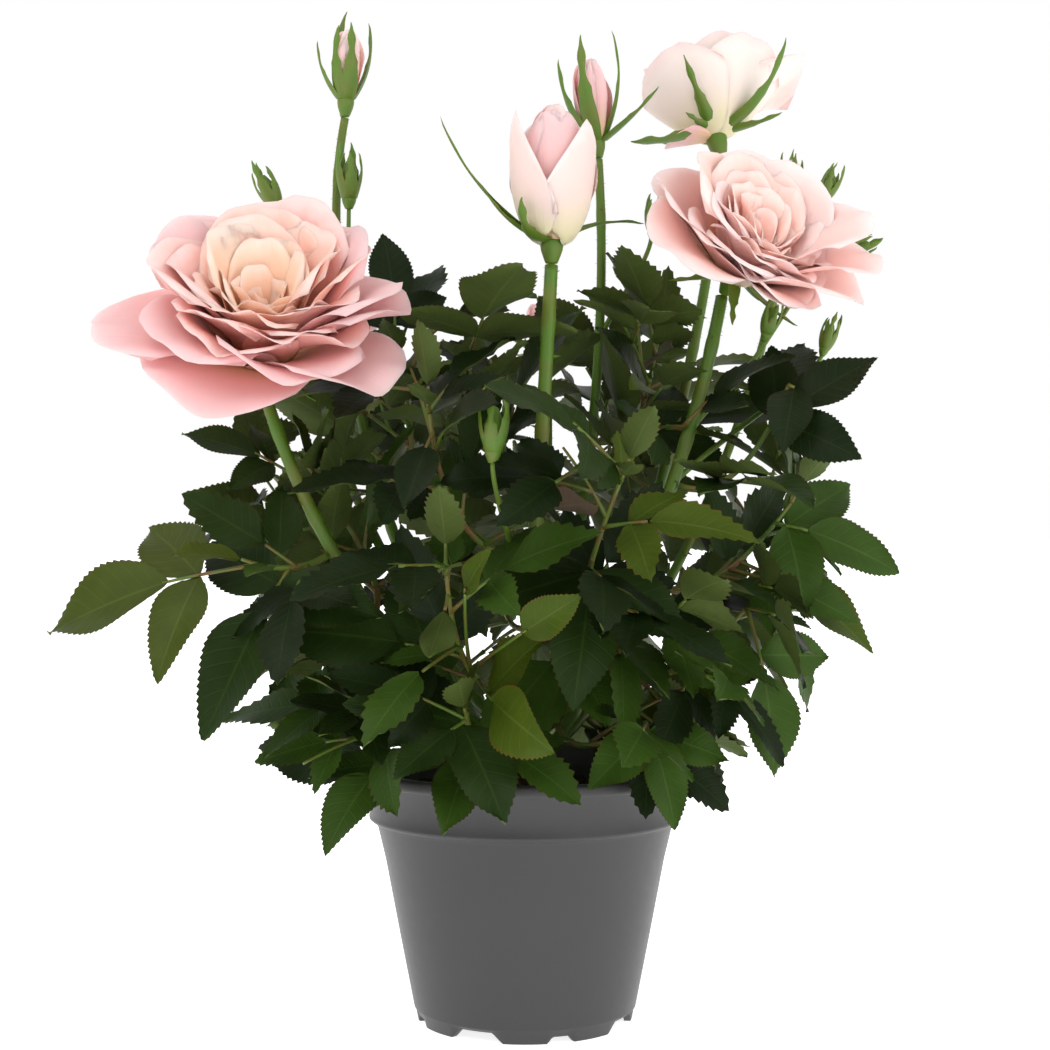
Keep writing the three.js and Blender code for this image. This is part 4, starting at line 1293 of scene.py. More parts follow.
@dataclass
class Foliage:
    """Every shoot's twigs and leaves: those of its solid, and the finer ones between them."""

    stem: WoodyStem
    rule: LeafRule = field(default_factory=LeafRule)
    near_shape: LeafletShape = field(default_factory=LeafletShape)
    filler_shape: LeafletShape = field(
        default_factory=lambda: LeafletShape(rows=18, columns=4, tooth=0.09))
    shoot_radius: float = 1.25
    tries: int = 12
    fewest: int = 2
    found_within: float = 0.5
    twigs_each: int = 3
    twig_reach: float = 34.0
    twig_leaves: int = 3
    between: int = 6
    filler_size: float = 0.84
    clear: float = 0.8

    def __post_init__(self) -> None:
        """Lists the canes and starts the space that the leaves keep clear in."""
        self.canes = {cane.name: (cane, cane.curve(self.stem)) for cane in CANES}
        self.space = CrownSpace()
        self.leaf_writers = {name: MeshWriter() for name in self.canes}
        self.twig_writers = {name: MeshWriter() for name in self.canes}
        self.counts = {"solid": 0, "finer": 0}

    def build(self, finishes: Finishes) -> None:
        """Grows every shoot and writes the leaves and twigs of each cane's shoots."""
        axes = {shoot.name: shoot.axis(self.canes) for shoot in SHOOTS}
        for name in ("pot", "soil", "trunk", *self.canes, *BLOOMS):
            self.space.take_node(name)
        for shoot in SHOOTS:
            self.add_twig(shoot.cane, shoot.name, axes[shoot.name], self.shoot_radius)
        for shoot in SHOOTS:
            self.grow_as_solid(shoot, axes[shoot.name])
        for shoot in SHOOTS:
            self.grow_between(shoot, axes[shoot.name])
        LOG.info("leaflets of the solids %(solid)d, finer ones %(finer)d", self.counts)
        for cane in self.canes:
            names = [shoot.name for shoot in SHOOTS if shoot.cane == cane]
            if names:
                leaves = self.leaf_writers[cane].write("leaves_" + cane, finishes.foliage())
                twigs = self.twig_writers[cane].write("twigs_" + cane, [finishes.of(YOUNG_STEM)])
                seat(leaves, "foliage", *names)
                seat(twigs, "cane", *names)

    def add_twig(self, cane: str, owner: str, axis: Bezier, radius: float) -> None:
        """Adds a twig's tube and notes the space that it takes."""
        steps = 14
        path = axis.path(steps)
        share = np.linspace(0, 1, steps + 1)
        add_tube(self.twig_writers[cane], path, radius * (1 - 0.45 * share), 8)
        self.space.take(*self.stick(path[0], path[7], path[14], radius), owner)

    @staticmethod
    def stick(*args: Vector | np.ndarray | float) -> tuple[list[Vector], list[tuple[int, ...]]]:
        """Gives a three-sided stick through the points, of the radius that comes last."""
        *path, radius = args
        path = [Vector(p) for p in path]
        along = (path[-1] - path[0]).normalized()
        side = along.orthogonal().normalized()
        points, faces = [], []
        for place in path:
            for turn in range(3):
                arm = side.copy()
                arm.rotate(Quaternion(along, turn * 2 * math.pi / 3))
                points.append(place + arm * radius)
        for ring in range(len(path) - 1):
            for i in range(3):
                a, b = ring * 3 + i, ring * 3 + (i + 1) % 3
                faces.append((a, b, b + 3, a + 3))
        return points, faces

    def add_leaf(self, cane: str, owner: str, place: LeafPlace, chosen: Sequence[Blade], stalk: Bezier,
                 shape: LeafletShape, chance: SeededRun) -> None:
        """Adds a leaf and notes the space that it takes.

        Args:
            cane: the cane whose leaves it joins.
            owner: whose space it is.
            place: where the leaf goes.
            chosen: the leaflets that it gets.
            stalk: its stalk, which ends at the last leaflet that it carries.
            shape: the shape of its leaflets.
            chance: the run of numbers that bends them.
        """
        radii = self.rule.stalk_radius * np.array([1.7, 1.15, 1.0, 0.95, 0.9, 0.85, 0.7])
        path = stalk.path(6)
        away = [np.linalg.norm(path - np.array(blade.root), axis=1) for blade in chosen]
        carried = max(2, *(int(np.argmin(each)) for each in away)) + 1
        add_tube(self.twig_writers[cane], path[:carried], radii[:carried], 5)
        self.space.take(*self.stick(stalk.at(0), stalk.at(1), self.rule.stalk_radius), owner)
        slots = leaf_slots(place.tint)
        for blade in chosen:
            shape.add_to(self.leaf_writers[cane], blade, slots, chance)
            self.space.take(*self.rule.block(blade), owner)

    def grow_as_solid(self, shoot: Shoot, axis: Bezier) -> None:
        """Grows the leaves that the shoot's solid has.

        Args:
            shoot: the shoot, whose solid is asked where each leaflet has its tip.
            axis: its middle line.
        """
        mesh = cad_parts[shoot.name].data
        tree = KDTree(len(mesh.vertices))
        for vertex in mesh.vertices:
            tree.insert(vertex.co / MM, vertex.index)
        tree.balance()
        look = SeededRun(shoot.seed + 900)

        def stands(blade: Blade) -> bool:
            """Tells whether the solid has this leaflet."""
            tip = self.rule.block(blade)[0][1]
            return tree.find(tip)[2] < self.found_within

        for leaf in shoot.placed:
            place = leaf.on(axis)
            stalk, blades = self.rule.plan(place)
            chosen = [blade for blade in blades if stands(blade)]
            self.counts["solid"] += len(chosen)
            if chosen:
                self.add_leaf(shoot.cane, shoot.name, place, chosen, stalk, self.near_shape, look)
        chance = SeededRun(shoot.seed)
        for index in range(shoot.leaves):
            for _ in range(self.tries):
                place = self.rule.by_rule(axis, shoot.leaves, shoot.size, shoot.droop, index, chance)
                if not self.rule.inside_crown(place.tip):
                    continue
                stalk, blades = self.rule.plan(place)
                chosen = [blade for blade in blades if stands(blade)]
                if len(chosen) >= self.fewest:
                    self.counts["solid"] += len(chosen)
                    place = self.tinted(place, look)
                    self.add_leaf(shoot.cane, shoot.name, place, chosen, stalk, self.near_shape, look)
                    break

    def tinted(self, place: LeafPlace, chance: SeededRun) -> LeafPlace:
        """Deals a leaf its green at random: deeper more often high up, brighter more often low down, now and
        then young.
        """
        low = place.tip.z < 125
        level = chance.next()
        if level > 0.94:
            tint = Tint.YOUNG
        elif level > (0.55 if low else 0.84):
            tint = Tint.BRIGHT
        elif level > 0.4:
            tint = Tint.MIDDLE
        else:
            tint = Tint.DEEP
        return replace(place, tint=tint)

    def grow_between(self, shoot: Shoot, axis: Bezier) -> None:
        """Grows finer twigs out of a shoot, and leaves along them and between the first ones.

        Args:
            shoot: the shoot that they belong to.
            axis: its middle line.
        """
        chance = SeededRun(shoot.seed + 500)
        for leaf in shoot.lone:
            place = leaf.on(axis)
            stalk, blades = self.rule.plan(place, pairs=0)
            owner = f"{shoot.name} leaf {len(self.space.trees)}"
            self.add_leaf(shoot.cane, owner, place, blades, stalk, self.near_shape, chance)
        self.fill_axis(shoot, axis, self.between, shoot.size * self.filler_size, chance)
        for number in range(self.twigs_each):
            at = (number + 0.6) / self.twigs_each
            base, along = axis.at(at), axis.tangent(at)
            arm = along.orthogonal().normalized()
            arm.rotate(Quaternion(along, math.radians(self.rule.golden * number) + chance.next() * 6))
            outward = Vector((base.x, base.y, 0)).normalized()
            heading = (arm + along * 0.5 + outward * 0.4 + UP * 0.15).normalized()
            end = base + heading * self.twig_reach * chance.spread(0.7, 1.1)
            twig = Bezier((base, base.lerp(end, 0.5) + UP * 2, end))
            outline = self.stick(base.lerp(end, 0.12), end, 1.2)
            if self.rule.inside_crown(end) and self.space.is_free(*outline, (shoot.name,)):
                size = shoot.size * self.filler_size * 0.94
                if self.fill_axis(shoot, twig, self.twig_leaves, size, chance):
                    self.add_twig(shoot.cane, shoot.name, twig, self.shoot_radius * 0.62)
        self.add_young_tip(shoot, axis, chance)

    def add_young_tip(self, shoot: Shoot, axis: Bezier, chance: SeededRun) -> None:
        """Ends a shoot in small young leaves, as many as find room there."""
        end, along = axis.at(1), axis.tangent(1)
        side = along.orthogonal().normalized()
        for number in range(3):
            heading = along.copy()
            if number:
                out = side.copy()
                out.rotate(Quaternion(along, math.radians(180.0 * number) + chance.next()))
                heading = (along + out * 1.1).normalized()
            size = shoot.size * (0.62 if number == 0 else 0.46) * chance.spread(0.85, 1.15)
            base = end - along * 2.5 * number
            tint = (Tint.YOUNG, Tint.OLIVE, Tint.BRIGHT)[int(chance.next() * 2.99)]
            place = LeafPlace(base, base + heading * size * 1.3, size, UP + side * 0.4, 62.0, tint)
            stalk, blades = self.rule.plan(place, pairs=0)
            chosen = [b for b in blades if self.space.is_free(*self.rule.block(b, 0.3), ())]
            if chosen:
                self.counts["finer"] += len(chosen)
                owner = f"{shoot.name} tip {number}"
                self.add_leaf(shoot.cane, owner, place, chosen, stalk, self.filler_shape, chance)

    def fill_axis(self, shoot: Shoot, axis: Bezier, leaves: int, size: float,
                  chance: SeededRun) -> int:
        """Grows leaves by the rule along a shoot or a twig.

        Args:
            shoot: the shoot that they belong to.
            axis: the middle line that they stand on.
            leaves: how many there can be.
            size: the length of an end leaflet.
            chance: the run of numbers that it draws from.

        Returns:
            How many found a free place.
        """
        grown = 0
        for index in range(leaves):
            for _ in range(self.tries):
                place = self.rule.by_rule(axis, leaves, size, shoot.droop, index, chance)
                if not self.rule.inside_crown(place.tip):
                    continue
                stalk, blades = self.rule.plan(place, pairs=2)
                owner = f"{shoot.name} leaf {len(self.space.trees)}"
                outline = self.stick(stalk.at(0.15), stalk.at(1), 0.8)
                if not self.space.is_free(*outline, (shoot.name,)):
                    continue
                chosen = [b for b in blades if self.space.is_free(*self.rule.block(b, self.clear), ())]
                if len(chosen) >= self.fewest and chosen[0] is blades[0]:
                    self.counts["finer"] += len(chosen)
                    self.add_leaf(shoot.cane, owner, self.tinted(place, chance), chosen, stalk,
                                  self.filler_shape, chance)
                    grown += 1
                    break
        return grown


# ---------------------------------------------------------------- blooms and buds
@dataclass(frozen=True)
class PetalRing:
    """A ring of petals: how many, their size, how they open from foot to rim, and their cup."""

    count: int
    length: float
    width: float
    opens: tuple[float, float]
    cup: float
    turn: float
    tone: Tone
    start: float = 2.0
    ruffle: float = 0.03
    reflex: float = 0.0
    overlap: float = 7.0
    uneven: float = 0.05
    lean: float = 0.0
    dip: float = 1.0
    point: float = 0.0
    belly: float = 1.0


@dataclass(frozen=True)
class Sepal:
    """A sepal: its length, how it opens and bends back, its bearing and its width."""

    length: float
    opens: tuple[float, float]
    turn: float
    width: float = 4.6


@dataclass(frozen=True)
class BloomSpec:
    """A bloom or bud at a cane's tip: axis, turn, hip, rings and sepals."""

    cane: str
    axis: tuple[float, float, float]
    turn: float
    hip: tuple[float, float]
    rings: tuple[PetalRing, ...]
    sepals: tuple[Sepal, ...]
    slot: str = "petal"
    seed: int = 1


def spine(length: float, opens: tuple[float, float], start: float, t: np.ndarray,
          belly: float = 1.0) -> tuple[np.ndarray, ...]:
    """Follows a petal's middle line.

    Args:
        length: its length.
        opens: its angle off the bloom's axis at its foot and at its rim, in degrees.
        start: how far off the axis its foot is.
        t: the places along it, from 0 to 1.
        belly: under 1, it turns most near its foot.

    Returns:
        The distance off the axis, the height and the angle at each place.
    """
    steps = 12
    out, up = np.full_like(t, start), np.zeros_like(t)
    for i in range(steps):
        angle = np.radians(opens[0] + (opens[1] - opens[0]) * (t * ((i + 0.5) / steps)) ** belly)
        out = out + np.sin(angle) * length * t / steps
        up = up + np.cos(angle) * length * t / steps
    return out, up, np.radians(opens[0] + (opens[1] - opens[0]) * t**belly)


def swung(reach: np.ndarray, sideways: np.ndarray, height: np.ndarray, bearing: float) -> np.ndarray:
    """Turns a surface round its bloom's axis to a bearing, in degrees."""
    turn = math.radians(bearing)
    return np.stack([reach * math.cos(turn) - sideways * math.sin(turn),
                     reach * math.sin(turn) + sideways * math.cos(turn), height], axis=-1)


@dataclass(frozen=True)
class Outer:
    """One of a bloom's outermost petals: its bearing, size, opening and the way it rolls."""

    turn: float
    length: float
    width: float
    opens: tuple[float, float]
    reflex: float = 14.0
    cup: float = 34.0
    ruffle: float = 0.03


def rosette(scale: float, tones: Sequence[Tone], outer: Sequence[Outer], turn: float = 0.0,
            lean: float = 1.0) -> tuple[PetalRing, ...]:
    """Lays out the rings of a full bloom from its outermost petals to its upright heart.

    Args:
        scale: the size of its inner petals over that of the largest bloom.
        tones: the tone of the outer petals and then of each ring.
        outer: the outermost petals, one by one.
        turn: how far the inner rings are turned, in degrees.
        lean: how much more upright the rear petals stand than the front ones.

    Returns:
        The rings, outermost first.
    """
    laid = [
        # count, length, width, opens, cup, start, ruffle, reflex, lean
        (5, 46, 45, (38, 68), 40, 2, 0.035, 16, 18), (5, 43, 41, (31, 59), 44, 2, 0.04, 18, 17),
        (6, 40, 36, (24, 50), 50, 2.5, 0.045, 20, 15), (6, 37, 31, (17, 40), 56, 2.5, 0.045, 20, 13),
        (6, 33, 25, (10, 30), 62, 2.5, 0.05, 18, 10), (5, 28, 19, (5, 22), 72, 2, 0.045, 14, 6),
        (4, 23, 13, (1, 12), 84, 1.5, 0.04, 8, 2), (3, 19, 9, (-2, -4), 90, 1, 0.03, 0, 0),
    ]
    rings = [
        PetalRing(1, each.length, each.width, each.opens, each.cup, each.turn, tones[0], 2,
                  each.ruffle, each.reflex, 5, 0.01)
        for each in outer
    ]
    for number, (count, length, width, opens, cup, start, ruffle, reflex, rear) in enumerate(laid):
        tone = tones[min(number + 1, len(tones) - 1)]
        rings.append(PetalRing(count, length * scale, width * scale, opens, cup, turn + number * 23.5, tone,
                               start * scale, ruffle, reflex, 7, 0.05 + 0.01 * number, rear * lean))
    return tuple(rings)


FULL = (Tone.OUTER, Tone.OUTER, Tone.MIDDLE, Tone.MIDDLE, Tone.DEEP, Tone.HEART)
SOFT = (Tone.SHELL, Tone.SHELL, Tone.SHELL, Tone.SHELL, Tone.PEACH)
BLOOMS = {
    "bloom_left": BloomSpec(
        "cane_left", (0.08, -0.46, 0.88), 10, (3.6, 8),
        rosette(1.08, FULL, (
            Outer(243, 44, 56, (66, 106), 6, 20, 0.05), Outer(318, 49, 52, (62, 98), 10, 26, 0.04),
            Outer(180, 54, 48, (58, 93), 8, 28, 0.03), Outer(352, 51, 46, (44, 79), 14, 34, 0.04),
            Outer(128, 54, 48, (27, 57), 14, 34, 0.04), Outer(42, 55, 48, (27, 58), 14, 34, 0.04))),
        (Sepal(26, (112, 96), 252), Sepal(24, (120, 104), 20), Sepal(20, (118, 110), 90),
         Sepal(20, (118, 110), 160), Sepal(20, (116, 110), 320)), seed=3),
    "bloom_right": BloomSpec(
        "cane_right", (0.4, -0.5, 0.78), 30, (3.4, 8),
        rosette(0.84, SOFT, (
            Outer(192, 43, 44, (57, 91), 10), Outer(258, 31, 40, (52, 88), 8),
            Outer(322, 44, 54, (50, 90), 10), Outer(156, 43, 42, (54, 62), 6, 46),
            Outer(110, 43, 42, (62, 74), 8, 44), Outer(76, 48, 40, (42, 58), 10),
            Outer(42, 47, 42, (27, 49), 12), Outer(345, 50, 44, (42, 76), 14),
            Outer(350, 50, 42, (28, 54), 14))),
        (Sepal(26, (115, 96), 330), Sepal(22, (125, 110), 20), Sepal(20, (118, 110), 90),
         Sepal(20, (118, 108), 170), Sepal(20, (118, 108), 250)), seed=8),
    "bloom_centre": BloomSpec(
        "cane_centre", (0.02, -0.08, 1), 0, (3.8, 8),
        (PetalRing(1, 45, 50, (100, -11), 88, 202, Tone.BLUSH, 4.2, 0.006, 10, 4, 0.01, 0, 0, 0.82, 0.25),
         PetalRing(1, 44, 50, (100, -14), 88, 338, Tone.BLUSH, 4, 0.006, 10, 5, 0.01, 0, 0, 0.82, 0.25),
         PetalRing(1, 45, 40, (96, -20), 78, 90, Tone.BLUSH, 3, 0.01, 10, 4, 0.01, 0, 1.4, 0, 0.3),
         PetalRing(3, 48, 35, (47, -44), 100, 50, Tone.OUTER, 1.4, 0.01, 2, 4, 0.02, 0, 0.8),
         PetalRing(3, 48.5, 30, (42, -40), 108, 95, Tone.OUTER, 1.2, 0.01, 2, 6, 0.02, 0, 0.8),
         PetalRing(3, 47, 24, (34, -32), 116, 10, Tone.MIDDLE, 1, 0.01, 0, 12, 0.02)),
        (Sepal(52, (60, 22), 182, 4.8), Sepal(34, (57, 97), 30, 6.4), Sepal(24, (71, 31), 190, 5.5),
         Sepal(22, (104, -10), 232, 7), Sepal(20, (70, 40), 90)), "pale_petal", 5),
    "bloom_top_right": BloomSpec(
        "cane_top_right", (-0.14, 0.42, 0.9), 0, (3.8, 12),
        (PetalRing(1, 37, 42, (74, 10), 50, 231, Tone.CREAM, 2, 0.02, 8, 6, 0.01),
         PetalRing(1, 39, 38, (72, 12), 50, 308, Tone.CREAM, 2, 0.03, 10, 6, 0.01),
         PetalRing(1, 43, 28, (52, 50), 46, 350, Tone.CREAM, 2, 0.03, 30, 6, 0.01),
         PetalRing(1, 19, 15, (94, 106), 40, 198, Tone.OUTER, 2, 0.03, 10, 6, 0.01),
         PetalRing(3, 38, 38, (54, 4), 54, 55, Tone.CREAM, 2, 0.03, 14, 8, 0.03),
         PetalRing(5, 36, 32, (44, 0), 56, 15, Tone.CREAM, 2, 0.03, 10, 8, 0.04),
         PetalRing(5, 34, 26, (34, -4), 68, 40, Tone.CREAM, 2, 0.03, 8, 8, 0.05),
         PetalRing(5, 31, 19, (22, -8), 82, 10, Tone.BLUSH, 1.5, 0.03, 4, 10, 0.05),
         PetalRing(4, 29, 13, (8, -6), 100, 0, Tone.BLUSH, 0.8, 0.02, 0, 10, 0.05)),
        (Sepal(33, (88, 44), 252, 5), Sepal(41, (94, 30), 318, 5.8), Sepal(34, (112, 98), 204, 10),
         Sepal(22, (100, 84), 340, 5), Sepal(18, (94, 94), 236, 4)), "pale_petal", 9),
    "bud_top_left": BloomSpec(
        "cane_top_left", (0.05, -0.02, 1), 0, (2.9, 6),
        (PetalRing(3, 26, 17, (24, -22), 100, 0, Tone.SHELL, 0.8, 0.01, 0, 12, 0.03),
         PetalRing(3, 25, 12, (12, -13), 116, 50, Tone.SHELL, 0.5, 0.01, 0, 12, 0.03)),
        (Sepal(33, (28, -24), 140, 5.6), Sepal(29, (34, -16), 22, 5.6), Sepal(22, (44, 2), 190, 5.2),
         Sepal(27, (30, -16), 290, 6), Sepal(26, (32, -16), 235, 5.6)), "pale_petal", 4),
    "bud_top_middle": BloomSpec(
        "cane_middle", (-0.1, 0.02, 1), 0, (2.9, 6),
        (PetalRing(3, 31, 21, (26, -22), 96, 0, Tone.OUTER, 1.2, 0.01, 4, 12, 0.03),
         PetalRing(3, 31, 16, (16, -15), 112, 50, Tone.MIDDLE, 0.8, 0.01, 0, 12, 0.03)),
        (Sepal(40, (32, -12), 356, 6.2), Sepal(27, (62, 46), 340, 5), Sepal(38, (32, -18), 250, 6.4),
         Sepal(32, (36, -6), 196, 6.2), Sepal(26, (30, -8), 90, 5.4)), "petal", 6),
    "bud_far_right": BloomSpec(
        "cane_far_right", (0.1, 0.1, 1), 0, (2.6, 6),
        (PetalRing(3, 18.5, 12, (16, -14), 100, 0, Tone.BLUSH, 0.7, 0.01, 0, 12, 0.03),
         PetalRing(3, 18, 9, (10, -11), 116, 50, Tone.BLUSH, 0.4, 0.01, 0, 12, 0.03)),
        (Sepal(24, (24, -6), 100, 4), Sepal(22, (50, 30), 340, 4), Sepal(20, (22, -8), 190, 4.4),
         Sepal(19, (22, -8), 40, 4.4), Sepal(19, (22, -8), 260, 4.4)), "pale_petal", 7),
    "bud_back": BloomSpec(
        "cane_back", (0.05, 0.3, 1), 0, (3.2, 7),
        (PetalRing(3, 24, 21, (34, -14), 78, 20, Tone.OUTER, 1.2, 0.02, 18, 10, 0.03),
         PetalRing(3, 24, 17, (24, -14), 96, 70, Tone.MIDDLE, 1.0, 0.02, 6, 12, 0.04),
         PetalRing(4, 23, 12, (12, -11), 116, 30, Tone.MIDDLE, 0.5, 0.01, 0, 12, 0.04)),
        (Sepal(26, (85, 70), 60), Sepal(28, (80, 40), 200), Sepal(22, (80, 60), 130),
         Sepal(22, (85, 60), 290), Sepal(20, (85, 60), 350)), "petal", 12),
    "bloom_back_left": BloomSpec(
        "cane_back_left", (-0.3, 0.5, 0.8), 0, (3.4, 8), rosette(0.64, FULL, [
            Outer(turn, 33, 32, (56, 94), 12) for turn in (10, 85, 152, 226, 300)]),
        (Sepal(24, (115, 96), 250), Sepal(18, (118, 110), 20), Sepal(18, (118, 110), 90),
         Sepal(18, (118, 110), 160), Sepal(18, (116, 110), 320)), seed=14),
}


@dataclass(frozen=True)
class SideBud:
    """A small green bud on its own stalk: its cane, where it starts, foot, axis and length."""

    cane: str
    at: float
    foot: tuple[float, float, float]
    axis: tuple[float, float, float]
    length: float


SIDE_BUDS = [
    SideBud("cane_top_left", 0.72, (-60.5, 0, 277), (0.03, -0.1, 1), 19),
    SideBud("cane_top_left", 0.66, (-84, 0, 275), (-0.42, 0, 0.9), 17),
    SideBud("cane_middle", 0.78, (43.8, 6, 268), (0.1, 0, 1), 13),
    SideBud("cane_centre", 0.5, (-9.7, -84, 187), (0.05, -0.1, 1), 19),
    SideBud("cane_right", 0.8, (80, -16, 230), (0.25, -0.1, 0.9), 13),
    SideBud("cane_right", 0.72, (101, -6, 226), (0.3, 0, 0.9), 13),
    SideBud("cane_far_right", 0.86, (108, 12, 262), (0.9, -0.3, 0.35), 15),
    SideBud("cane_far_right", 0.94, (106, 30, 283), (0.4, 0, 0.9), 14),
]


@dataclass
class Blooms:
    """Every bloom and bud on its cane's tip: petals in rings, a hip and its sepals."""

    stem: WoodyStem
    petal_thickness: float = 0.35
    petal_sheet: Sheet = field(default_factory=lambda: Sheet(16, 14))
    sepal_sheet: Sheet = field(default_factory=lambda: Sheet(18, 4))
    hip_seat: float = 0.6

    def build(self, finishes: Finishes) -> None:
        """Makes the petals and the calyx of each bloom."""
        canes = {cane.name: cane for cane in CANES}
        for name, spec in BLOOMS.items():
            place = self.place(canes[spec.cane], spec)
            petals, calyx = MeshWriter(), MeshWriter()
            for ring in spec.rings:
                self.add_ring(petals, ring, spec, place)
            self.add_calyx(calyx, spec, place)
            seat(petals.write("petals_" + name, finishes.petals()), spec.slot, name)
            seat(calyx.write("calyx_" + name, [finishes.of(CALYX_SKIN)]), "cane", name)
        self.build_side_buds(finishes)

    def place(self, cane: Cane, spec: BloomSpec) -> Matrix:
        """Gives where a bloom's own frame sits: on its cane's end, its axis turned to face."""
        curve = cane.curve(self.stem)
        facing = Vector(spec.axis).normalized()
        tilt = math.sin(curve.tangent(1).angle(facing))
        tip = curve.at(1) + facing * (CLEAR + self.hip_seat * cane.radii[1] * tilt)
        lean = UP.rotation_difference(facing)
        spin = Quaternion(UP, math.radians(spec.turn))
        return Matrix.Translation(tip) @ (lean @ spin).to_matrix().to_4x4()

    def build_side_buds(self, finishes: Finishes) -> None:
        """Makes the small green buds, each with its stalk, its urn and its closed sepals."""
        canes = {cane.name: cane for cane in CANES}
        writer = MeshWriter()
        for number, bud in enumerate(SIDE_BUDS):
            cane, foot, axis = canes[bud.cane], Vector(bud.foot), Vector(bud.axis).normalized()
            start = cane.curve(self.stem).at(bud.at)
            stalk = Bezier((start, start.lerp(foot, 0.35) + UP * 2, foot - axis * 9, foot + axis * 0.4))
            add_tube(writer, stalk.path(16), np.linspace(1.0, 0.75, 17), 8)
            spin = Quaternion(UP, math.radians(37.0 * number))
            place = Matrix.Translation(foot) @ (UP.rotation_difference(axis) @ spin).to_matrix().to_4x4()
            size = bud.length
            closed = tuple(
                Sepal(size * (1.04 if i % 2 else 0.84), (27, -20), 72.0 * i, size * 0.26)
                for i in range(5))
            core = [(0, size * 0.12), (size * 0.15, size * 0.2), (size * 0.2, size * 0.38),
                    (size * 0.15, size * 0.64), (size * 0.06, size * 0.86), (0, size * 0.9)]
            add_revolved(writer, core, 12, place=lambda points, place=place: self.moved(points, place))
            spec = BloomSpec(bud.cane, bud.axis, 0, (size * 0.13, size * 0.22), (), closed, seed=number + 41)
            self.add_calyx(writer, spec, place)
        seat(writer.write("side_buds", [finishes.of(CALYX_SKIN)]), "cane")

    @staticmethod
    def moved(points: np.ndarray, place: Matrix) -> np.ndarray:
        """Moves an array of points by a matrix."""
        matrix = np.array(place)
        return points @ matrix[:3, :3].T + matrix[:3, 3]

    def add_ring(self, writer: MeshWriter, ring: PetalRing, spec: BloomSpec, place: Matrix) -> None:
        """Adds a ring's petals, no two quite alike."""
        chance = SeededRun(spec.seed * 97 + int(ring.length * 10) + ring.count)
        for number in range(ring.count):
            bearing = ring.turn + 360 / ring.count * (number + chance.spread(-0.5, 0.5) * ring.uneven * 2)
            rear = math.atan2(-spec.axis[1], -spec.axis[0]) - math.radians(spec.turn)
            behind = math.cos(math.radians(bearing) - rear)
            upright = ring.lean * behind
            tone = WARMER.get(ring.tone, ring.tone) if ring.lean and behind > 0.35 else ring.tone
            slot = list(PETAL_SKINS).index(tone)
            surface = self.petal(ring, bearing, spec.hip[1] * 0.72, upright, chance)
            self.petal_sheet.add_to(writer, self.moved(surface, place), self.petal_thickness, (slot, slot))

    def petal(self, ring: PetalRing, bearing: float, raised: float, upright: float,
              chance: SeededRun) -> np.ndarray:
        """Gives the surface of one petal in the bloom's own frame.

        Args:
            ring: the ring that it belongs to.
            bearing: where it stands round the axis, in degrees.
            raised: how high its foot is above the hip's foot.
            upright: how much less it opens than its ring, in degrees.
            chance: the run of numbers that makes it uneven.

        Returns:
            A grid of points, from foot to rim and across.
        """
        u, v = self.petal_sheet.u, self.petal_sheet.v
        length = ring.length * (1 + chance.spread(-1, 1) * ring.uneven + 0.007 * upright)
        shift = chance.spread(-1, 1) * ring.uneven * 60
        opens = (ring.opens[0] + shift * 0.4 - upright, ring.opens[1] + shift - upright)
        rounding = ring.dip * (0.1 * u * u + 0.24 * u**4) + ring.point * np.abs(u) ** 1.35
        nick = 0.03 * np.exp(-((u / 0.2) ** 2)) * chance.spread(-0.4, 1.0)
        t = v * (1 - (rounding + nick))
        out, up, angle = spine(length, opens, ring.start, t, ring.belly)
        width = 0.2 + 0.8 * np.sin(np.pi * np.minimum(1, 0.08 + t * 0.66)) ** 1.1
        half = ring.width / 2 * width * (1 + 0.04 * np.sin(5 * v + chance.next() * 6))
        cup = math.radians(ring.cup)
        sideways = -half * np.sin(cup * u) / cup
        lift = half * (1 - np.cos(cup * u)) / cup
        lift = lift + u * half * math.tan(math.radians(ring.overlap)) * (0.3 + 0.7 * v)
        waves = np.sin(2 * math.pi * (u * chance.spread(0.45, 0.8) + chance.next()))
        waves = waves + 0.35 * np.sin(2 * math.pi * (u * chance.spread(1.1, 1.7) + chance.next()))
        lift = lift + ring.ruffle * ring.length * waves * v**2.5
        bend = math.radians(ring.reflex) * length * 0.5 * np.maximum(0, v - 0.72) ** 2 * 6 * (0.4 + u * u)
        lift = lift - bend
        reach = out - np.cos(angle) * lift
        height = up + np.sin(angle) * lift + raised
        return swung(reach, sideways, height, bearing)

    def add_calyx(self, writer: MeshWriter, spec: BloomSpec, place: Matrix) -> None:
        """Adds the hip, shaped like a small urn, and its five sepals."""
        radius, height = spec.hip
        urn = [(0, 0), (0.5, 0), (0.6, 0.1), (0.76, 0.3), (0.92, 0.52), (1, 0.74), (1.02, 0.9), (0.94, 1.0),
               (0.6, 1.04), (0, 1.04)]
        profile = [(r * radius, z * height) for r, z in urn]
        add_revolved(writer, profile, 24, place=lambda points: self.moved(points, place))
        chance = SeededRun(spec.seed * 31)
        for each in spec.sepals:
            surface = self.sepal(each, radius * 0.8, height * 0.9, chance)
            self.sepal_sheet.add_to(writer, self.moved(surface, place), 0.4, (0, 0))

